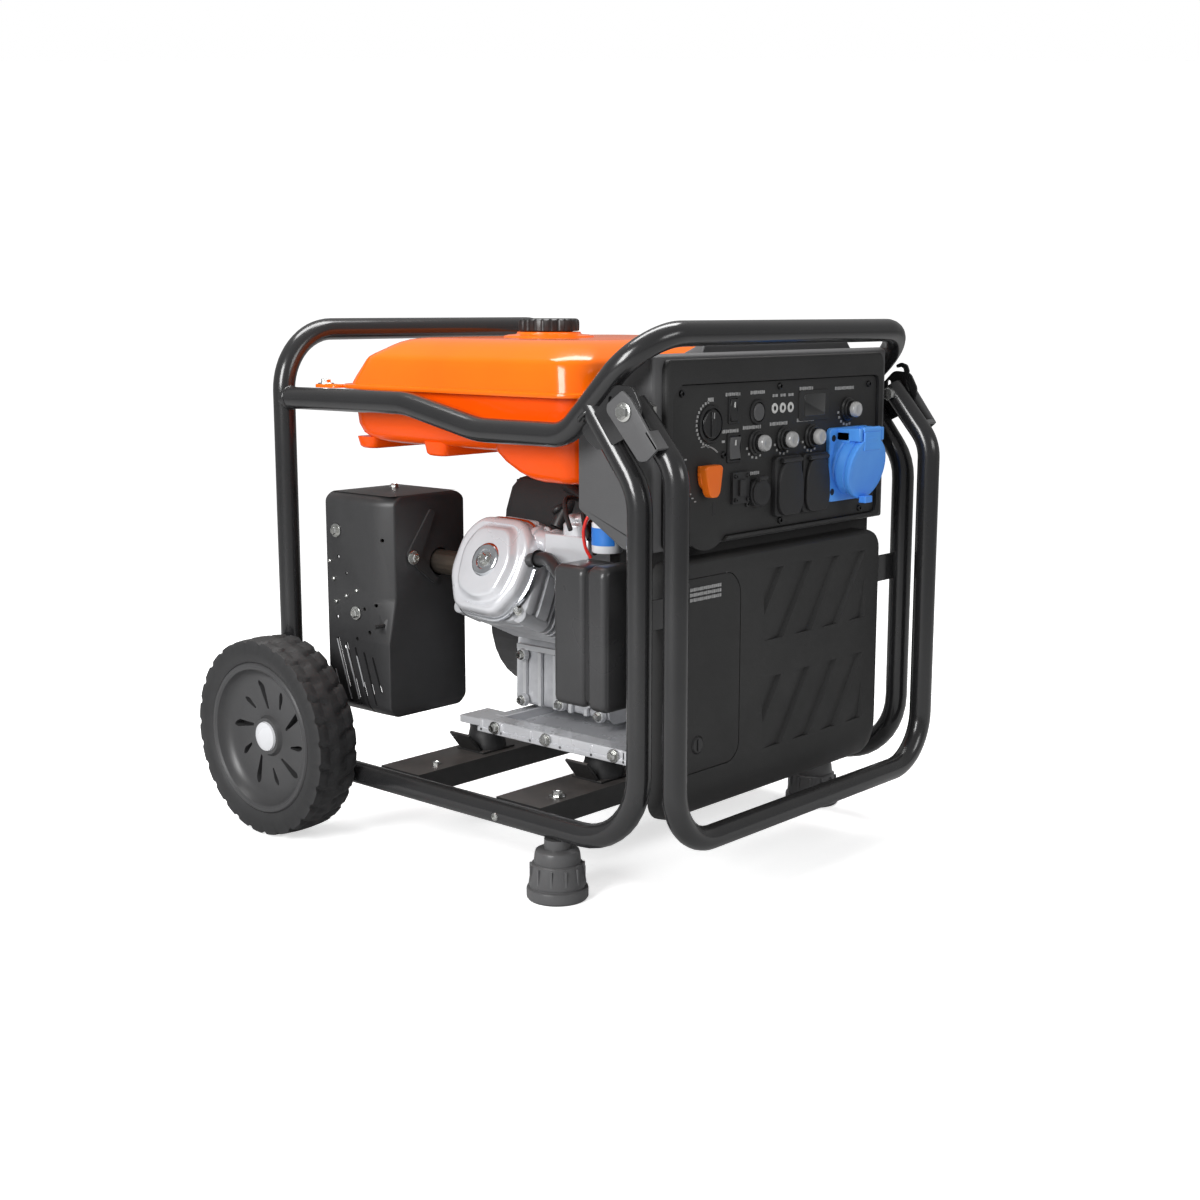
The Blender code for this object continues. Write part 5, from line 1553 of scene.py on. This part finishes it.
# %% [markdown]
# ## Switches and dial
# Each control has a fixed rim on the frame and a moving key on its own body.

# %% Switches and dial
dark = bmesh.new()
for x, z, w, h in ((-81, 459, 11.5, 15.0), (-83, 497, 8.0, 14.0)):
    outer = rounded_rect(x - w, x + w, z - h, z + h, 2.5, 4)
    loft(dark, [lift(grow(outer, g), y, "XZ") for g, y in
                ((0, -281.2), (0, -282.4), (-0.8, -283.2), (-2.4, -283.2), (-2.6, -281.6))])
for x, z, r in ((*START, 13.0), (*DIAL, 19.0)):
    spin(dark, [(0, 0), (r, 0), (r, 1.4), (r - 1.0, 2.4), (r - 2.6, 2.4), (r - 3.2, 0.6), (0, 0.6)],
         (x, PANEL_Y, z), "-Y", 48)
display = pillow("display_frame", rounded_rect(31, 85, 480, 512, 2.5, 3), "XZ", -281.2, -282.7,
                 0.6)
settle(display, panel_black, "frame")
glass = pillow("display_glass", rounded_rect(40, 78, 485, 508, 1.5, 3), "XZ", -282.0, -282.95, 0.2)
settle(glass, screen_glass, "frame")
settle(from_bmesh("switch_rims", dark), control_black, "frame")

knob = bmesh.new()
spin(knob, [(0, 0.5), (14.4, 0.5), (14.4, 2.6), (13.4, 3.6), (0, 3.6)],
     (DIAL[0], PANEL_Y, DIAL[1]), "-Y", 40)
block(knob, (-122.2, -286.2, 472), (-115.8, -284, 497))
settle(soften(from_bmesh("dial_knob", knob), 0.5, 2), control_black, "dial",
       ["mode_dial"])
pointer = bmesh.new()
block(pointer, (-119.7, -286.4, 490), (-118.3, -286.0, 496))
settle(from_bmesh("dial_pointer", pointer), print_white, "dial")
for word, body, finish, x, z, w, h in (("rocker_switch", "rocker", housing_grey, -81, 459, 8.5, 11.0),
                                       ("engine_switch", "engine_rocker", control_black, -83, 497,
                                        5.5, 11.0)):
    side_shape = [(-284.6, z - h), (-282.9, z), (-284.6, z + h), (-277, z + h - 1.5), (-274, z + 4),
                  (-274, z - 4), (-277, z - h + 1.5)]
    key = bmesh.new()
    loft(key, [lift(side_shape, v, "YZ") for v in (x - w, x + w)])
    settle(soften(from_bmesh(word + "_key", key), 0.5, 2), finish, body, [word])
    line = bmesh.new()
    block(line, (x - 0.7, -284.5, z + 2.5), (x + 0.7, -283.6, z + 8.0))
    settle(from_bmesh(word + "_mark", line), lens_white, body)
button = lathe("start_cap", [(0, 3.1), (6.2, 3.2), (7.8, 3.3), (8.9, 2.6), (9.0, 0.2), (9, -9),
                             (0, -9)], (START[0], PANEL_Y, START[1]), "-Y", 40)
settle(button, housing_grey, "start", ["start_button"])
print("switches, dial and display set in")

# %% [markdown]
# ## Breakers, lever and sockets
# Each breaker is a black collar with a clear rubber boot over its button. The
# boot belongs to the button's own body, so it travels in with the push.

# %% Breakers
collars = bmesh.new()
for name, x, z in BREAKERS:
    spin(collars, [(8.9, 0), (13.0, 0), (13.0, 2.2), (11.4, 3.4), (11.2, 5.6), (10.2, 6.4),
                   (8.9, 6.4), (8.9, 0)], (x, PANEL_Y, z), "-Y", 40)
    stem = lathe(name + "_stem", [(0, 3.5), (8.2, 3.5), (8.2, 9.0), (7.4, 9.6), (0, 9.6)],
                 (x, PANEL_Y, z), "-Y", 32)
    settle(stem, control_black, name + "_button", [name])
    boot = lathe(name + "_boot", [(0, 8.8), (8.0, 8.8), (8.6, 10.2), (8.4, 13.6), (7.4, 15.2),
                                  (5.0, 15.7), (4.0, 15.2), (0, 15.2)], (x, PANEL_Y, z), "-Y", 32)
    settle(boot, boot_clear, name + "_button")
settle(from_bmesh("breaker_collars", collars), control_black, "frame")
print("breakers:", [name for name, _, _ in BREAKERS])

# %% [markdown]
# ## Lever
# The orange lever is a grip on a round hub, and both turn together.

# %% Lever
grip_shape = soft_corners([(-141, 442), (-138, 445), (-116, 445), (-113, 442), (-117, 418),
                           (-121, 413), (-131, 413), (-135, 418)], 2.5, 3)
grip = pillow("lever_grip", grip_shape, "XZ", -285.5, -294, 1.6, 4)
settle(grip, lever_orange, "lever", ["engine_lever"])
wing = bmesh.new()
block(wing, (-140, -286.5, 434), (-114, -282.0, 444.6))
spin(wing, [(0, 0.4), (12, 0.4), (12, 5), (0, 5)], (LEVER[0], PANEL_Y, LEVER[1]), "-Y", 36)
settle(soften(from_bmesh("lever_hub", wing), 0.8, 2), lever_orange, "lever")
print("lever turns about", LEVER)

# %% [markdown]
# ## Mains and small sockets
# Each mains socket is a raised boss with a round well and two dark pin holes. Its
# lid hangs on a hinge pin along the top and swings up with it.

# %% Mains, direct-current and small sockets
FLAP_Z = 413.0
for word, x in (("left", 8.0), ("right", 57.0)):
    boss = pillow("socket_boss_" + word, rounded_rect(x - 23.5, x + 23.5, FLAP_Z - 30, FLAP_Z + 33,
                                                      5, 4), "XZ", -281.0, -287.6, 1.8, 4)
    well = lathe("well", [(0, -2), (19, -2), (19, 20), (0, 20)], (x, -283.3, FLAP_Z - 3), "-Y", 40)
    settle(bake_shape(cut(boss, well)), flap_black, "frame")
    # The pin holes are flat dark discs: painted shade in place of open holes.
    pins = bmesh.new()
    for dx in (-9.5, 9.5):
        spin(pins, [(0, 0), (2.6, 0), (2.6, 0.25), (0, 0.25)], (x + dx, PANEL_Y, FLAP_Z - 3), "-Y", 20)
    settle(from_bmesh("pin_hole_shade_" + word, pins), control_black, "frame")
    lid_shape = soft_corners([(x - 14, FLAP_Z + 27), (x + 14, FLAP_Z + 27), (x + 21, FLAP_Z + 8),
                              (x + 22, FLAP_Z - 18), (x + 15, FLAP_Z - 29), (x - 15, FLAP_Z - 29),
                              (x - 22, FLAP_Z - 18), (x - 21, FLAP_Z + 8)], 8, 5)
    lid = pillow("socket_lid_" + word, lid_shape, "XZ", -288.0, -291.6, 1.4, 4)
    settle(lid, flap_black, word + "_flap", ["schuko_flap_" + word])
    hinge = bmesh.new()
    spin(hinge, [(0, 0), (2.2, 0), (2.6, 0.5), (2.6, 33.5), (2.2, 34), (0, 34)],
         (x - 17, -290.6, FLAP_Z + 28.5), "X", 20)
    settle(from_bmesh("lid_hinge_" + word, hinge), flap_black, word + "_flap")
dc = bmesh.new()
spin(dc, [(10.5, 0), (14.5, 0), (14.5, 5), (13, 6.3), (10.5, 6.3), (10.5, 0)],
     (LOW_VOLTAGE[0], PANEL_Y, LOW_VOLTAGE[1]), "-Y", 36)
for x, z in ((-58, 400), (-28, 400), (-58, 424), (-28, 424)):
    screw_head(dc, (x, PANEL_Y, z), "-Y", 2.8)
block(dc, (-85, -284.4, 402), (-57, -281.2, 434))
for x, z in ((-81, 406), (-61, 406), (-81, 430), (-61, 430)):
    screw_head(dc, (x, -284.4, z), "-Y", 2.2)
block(dc, (-76, -287.0, 410), (-66, -284.2, 426))
settle(from_bmesh("small_sockets", dc), flap_black, "frame")
cap = bmesh.new()
spin(cap, [(0, 6.8), (13.6, 6.8), (14.0, 8.4), (12.6, 10.2), (5, 10.6), (0, 10.2)],
     (LOW_VOLTAGE[0], PANEL_Y, LOW_VOLTAGE[1]), "-Y", 36)
spin(cap, [(0, 0), (2.3, 0), (2.3, 14), (0, 14)], (-50, -290.4, 426), "X", 16)
block(cap, (-49, -291.2, 418), (-37, -288.4, 426))
settle(from_bmesh("dc_cap", cap), flap_black, "dc_cover", ["dc_flap"])
print("two mains sockets and the low-voltage outlets done")

# %% [markdown]
# ## Blue industrial socket
# The barrel points a little downward, so one leaning axis serves it and its lid.

# %% Blue industrial socket
flange = pillow("blue_flange", rounded_rect(83, 159, 390, 470, 6, 5), "XZ", -281.7, -286.6, 1.4, 4)
settle(flange, socket_blue, "frame", ["cee_socket"])
lean = (0.0, -25.0, -5.0)
barrel = bmesh.new()
spin(barrel, [(0, 0), (35.5, 0), (34.6, 3), (34.2, 8), (32.8, 9.4), (32.8, 11), (34.2, 12.4),
              (33.6, 21), (32.4, 22.4), (28.6, 22.4), (28.6, 11), (0, 11)],
     (121, -281.0, 432.4), lean, 64)
for x in (97.5, 139.5):
    block(barrel, (x, -315.5, 456), (x + 5, -285.5, 470))
block(barrel, (97.5, -302, 454), (144.5, -285.5, 466))
settle(soften(from_bmesh("blue_barrel", barrel), 1.0, 3, 50), socket_blue, "frame")
# The screw holes are thin dark discs: painted shade in place of real holes.
holes = bmesh.new()
for x, z in ((90, 459), (89, 401), (152, 398)):
    spin(holes, [(0, 0), (3.6, 0), (3.6, 0.3), (0, 0.3)], (x, -286.6, z), "-Y", 20)
for x, z in ((104, 461), (136, 461)):
    spin(holes, [(0, 0), (2.4, 0), (2.4, 0.3), (0, 0.3)], (x, -302.0, z), "-Y", 16)
settle(from_bmesh("flange_screw_hole_shade", holes), control_black, "frame")
lid = bmesh.new()
spin(lid, [(0, 0), (33, 0), (35, 1.0), (35.2, 5.4), (34.0, 7.2), (30, 7.9), (27, 7.6), (0, 7.6)],
     (121, -303.5, 427.8), lean, 64)
block(lid, (105, -316.8, 446), (137, -311.8, 466))
block(lid, (114, -313.5, 388.5), (128, -304.5, 396))
spin(lid, [(0, 0), (3.2, 0), (3.2, 34), (0, 34)], (104, -313.5, 468), "X", 24)
settle(soften(from_bmesh("blue_lid", lid), 1.0, 3, 50), socket_blue, "cee_cover",
       ["cee_lid"])

studs = bmesh.new()
for x, z in ((-165, 516), (-4, 518), (163, 515), (0, 378), (-98, 453), (150, 378)):
    screw_head(studs, (x, PANEL_Y, z), "-Y", 3.6)
settle(from_bmesh("panel_screws", studs), dark_bolt, "frame")
# The key slot is a thin dark patch: painted shade in place of an opening.
key_slot_shade = pillow("key_slot_shade", rounded_rect(-114.5, -108.5, 392, 406, 2.9, 4), "XZ", -281.2,
                  -281.5, 0.1, 1)
settle(key_slot_shade, control_black, "frame")
print("sockets done")

# %% [markdown]
# ## Front cover, louvres and battery door
# The cover is a tray. Each louvre is a slanted ramp: level with the surface at its
# left and four millimetres deep at its right, where a short wall catches the light.
# One wedge is cut away for each; wedges that would run past the field are clipped.

# %% Cover tray
def cover_ring(y, side_in, top_in, low_in, r):
    return lift(rounded_rect(-190 + side_in, 190 - side_in, 88 + low_in, 352 - top_in, r, 6), y, "XZ")


tray = bmesh.new()
loft(tray, [cover_ring(-262, 0, 0, 0, 22), cover_ring(-272, 0, 0, 1.0, 22),
            cover_ring(-278, 0.2, 0.2, 4.0, 22), cover_ring(-282, 0.8, 0.8, 9.0, 21),
            cover_ring(-285, 2.0, 2.0, 17.0, 20), cover_ring(-286.6, 4.0, 3.6, 26.0, 18),
            cover_ring(-287, 6.0, 5.4, 33.0, 16),
            cover_ring(-286.99, 20.0, 20.0, 45.0, 10)])
tray = from_bmesh("cover_tray", tray, 30)
inside = bmesh.new()
loft(inside, [cover_ring(-250, 3, 3, 3, 19), cover_ring(-279.5, 4, 4, 9, 18),
              cover_ring(-280.8, 8, 8, 20, 14)])


def clip_polygon(points, limit, keep):
    """Cut a flat polygon by the vertical line x = limit; keep is +1 or -1."""
    out = []
    for a, b in zip(points, points[1:] + points[:1]):
        da, db = keep * (a[0] - limit), keep * (b[0] - limit)
        if da >= 0:
            out.append(a)
        if da * db < 0:
            t = da / (da - db)
            out.append((a[0] + (b[0] - a[0]) * t, a[1] + (b[1] - a[1]) * t))
    return out


wedges = bmesh.new()
for top, low in ((330.0, 254.0), (214.0, 138.0)):
    for right in (-3.0, 50.0, 102.0, 154.0, 206.0):
        slant = 52.0 / (top - low)
        shape = [(right - 31, top), (right, top), (right - 52, low), (right - 83, low)]
        shape = clip_polygon(clip_polygon(shape, -36.0, 1), 156.0, -1)
        if len(shape) < 3:
            continue
        front = [(x + (6.0 if x > right - 31 - slant * (top - z) + 25.0 else 0.0), z)
                 for x, z in shape]
        deep = []
        for x, z in shape:
            share = (x - (right - 31 - slant * (top - z))) / 31.0
            deep.append((x, -287.3 + 4.2 * share, z))
        loft(wedges, [lift(front, -288.4, "XZ"), deep])
door_shape = soft_corners([(-178, 136), (-85, 136), (-73, 148), (-73, 318), (-87, 334), (-178, 334)],
                          9, 4)
door_hole = bmesh.new()
loft(door_hole, [lift(grow(door_shape, 0.7), y, "XZ") for y in (-300, -262)])
bake_shape(cut(cut(cut(tray, from_bmesh("inside", inside)), from_bmesh("wedges", wedges)),
               from_bmesh("door_hole", door_hole)), 30)
settle(tray, cover_black, "frame", ["front_cover"])
HATCH_KNOB = (-142, -287, 164)
door = pillow("battery_hatch", door_shape, "XZ", -284.2, -287.0, 0.7)
well = lathe("well", [(0, -10), (9.5, -10), (9.5, 10), (0, 10)], HATCH_KNOB, "-Y", 36)
bake_shape(cut(door, well))
settle(door, cover_black, "door", ["battery_door"])
turn_knob = bmesh.new()
spin(turn_knob, [(0, -3), (9, -3), (9, 0), (7.6, 1.4), (0, 1.4)], HATCH_KNOB, "-Y", 32)
block(turn_knob, (-143.2, -289.4, 158), (-140.8, -288, 170))
settle(from_bmesh("hatch_knob", turn_knob), control_black, "latch_knob",
       ["door_latch"])
repaint(control_black, "battery")
repaint(cast_alloy, "inverter_module")
print("cover done")

# %% [markdown]
# ## Light
# The machine stands in a white studio. The world is full white to the camera but
# dim to everything else, so the paper vanishes and black paint stays black. Three
# large lamps draw long soft lines along the tubes: a strong one at the left, a weak
# one in front and a wide one overhead. The floor and its sweep are one curved
# sheet, so no horizon shows.

# %% Studio
def lamp(name, place, aim, size, size_y, power):
    data = bpy.data.lights.new(name, "AREA")
    data.shape = "RECTANGLE"
    data.size, data.size_y, data.energy = size, size_y, power
    obj = shown(name, data)
    obj.location = place
    obj.rotation_euler = (Vector(aim) - Vector(place)).to_track_quat("-Z", "Y").to_euler()
    return obj


lamp("left_softbox", (-2.5, -0.35, 1.35), (0, 0, 0.3), 0.9, 1.3, 60)
lamp("front_softbox", (0.3, -2.6, 1.3), (0, 0, 0.25), 1.2, 0.6, 11)
lamp("top_strip", (0.2, 0.3, 2.3), (0, 0, 0.4), 2.0, 0.7, 48)
world = bpy.data.worlds.new("studio_white")
world.use_nodes = True
world_tree = world.node_tree
seen = world_tree.nodes.new("ShaderNodeLightPath")
level = world_tree.nodes.new("ShaderNodeMapRange")
level.inputs["To Min"].default_value = 0.32
level.inputs["To Max"].default_value = 1.0
backdrop = world_tree.nodes["Background"]
backdrop.inputs["Color"].default_value = (1.0, 1.0, 1.0, 1.0)
wire(world_tree, [(seen.outputs["Is Camera Ray"], level.inputs["Value"]),
                  (level.outputs["Result"], backdrop.inputs["Strength"])])
bpy.context.scene.world = world
bpy.context.scene.view_settings.view_transform = "Standard"

floor_sheet = bmesh.new()
rows = []
for k in range(25):
    t = max(0.0, (k - 8) / 16)
    turn = math.radians(-41.75)
    across = 6000.0
    back = -5000 + 1000 * k if k < 9 else 3000 + 1500 * math.sin(t * math.pi / 2)
    up = 0.0 if k < 9 else 1500 * (1 - math.cos(t * math.pi / 2))
    rows.append([floor_sheet.verts.new((
        back * math.cos(-turn) + w * math.sin(-turn), back * math.sin(-turn) - w * math.cos(-turn),
        up)) for w in (-across, across)])
for a, b in zip(rows, rows[1:]):
    floor_sheet.faces.new((a[0], a[1], b[1], b[0]))
paper = make_finish("studio_paper", (0.96, 0.96, 0.96), (0.94, 0.94, 0.94), (0.85, 0.95),
                    bump=0.01, dust_amount=0.0, edge=0.0)
paper_shader = paper.node_tree.nodes["Principled BSDF"]
paper_shader.inputs["Emission Color"].default_value = (1.0, 1.0, 1.0, 1.0)
paper_tree = paper.node_tree
paper_seen = paper_tree.nodes.new("ShaderNodeLightPath")
paper_glow = math_node(paper_tree, "MULTIPLY", paper_seen.outputs["Is Camera Ray"], 0.62)
wire(paper_tree, [(paper_glow, paper_shader.inputs["Emission Strength"]),
                  (blend_colour(paper_tree, paper_seen.outputs["Is Camera Ray"],
                                (0.50, 0.50, 0.50), (0.95, 0.95, 0.95)),
                   paper_shader.inputs["Base Color"])])
floor_piece = from_bmesh("paper_sweep", floor_sheet)
floor_piece.data.materials.append(paper)
print("studio set")

# %% [markdown]
# ## Finish
# The last cell updates the view layer.

# %% Finish
bpy.context.view_layer.update()
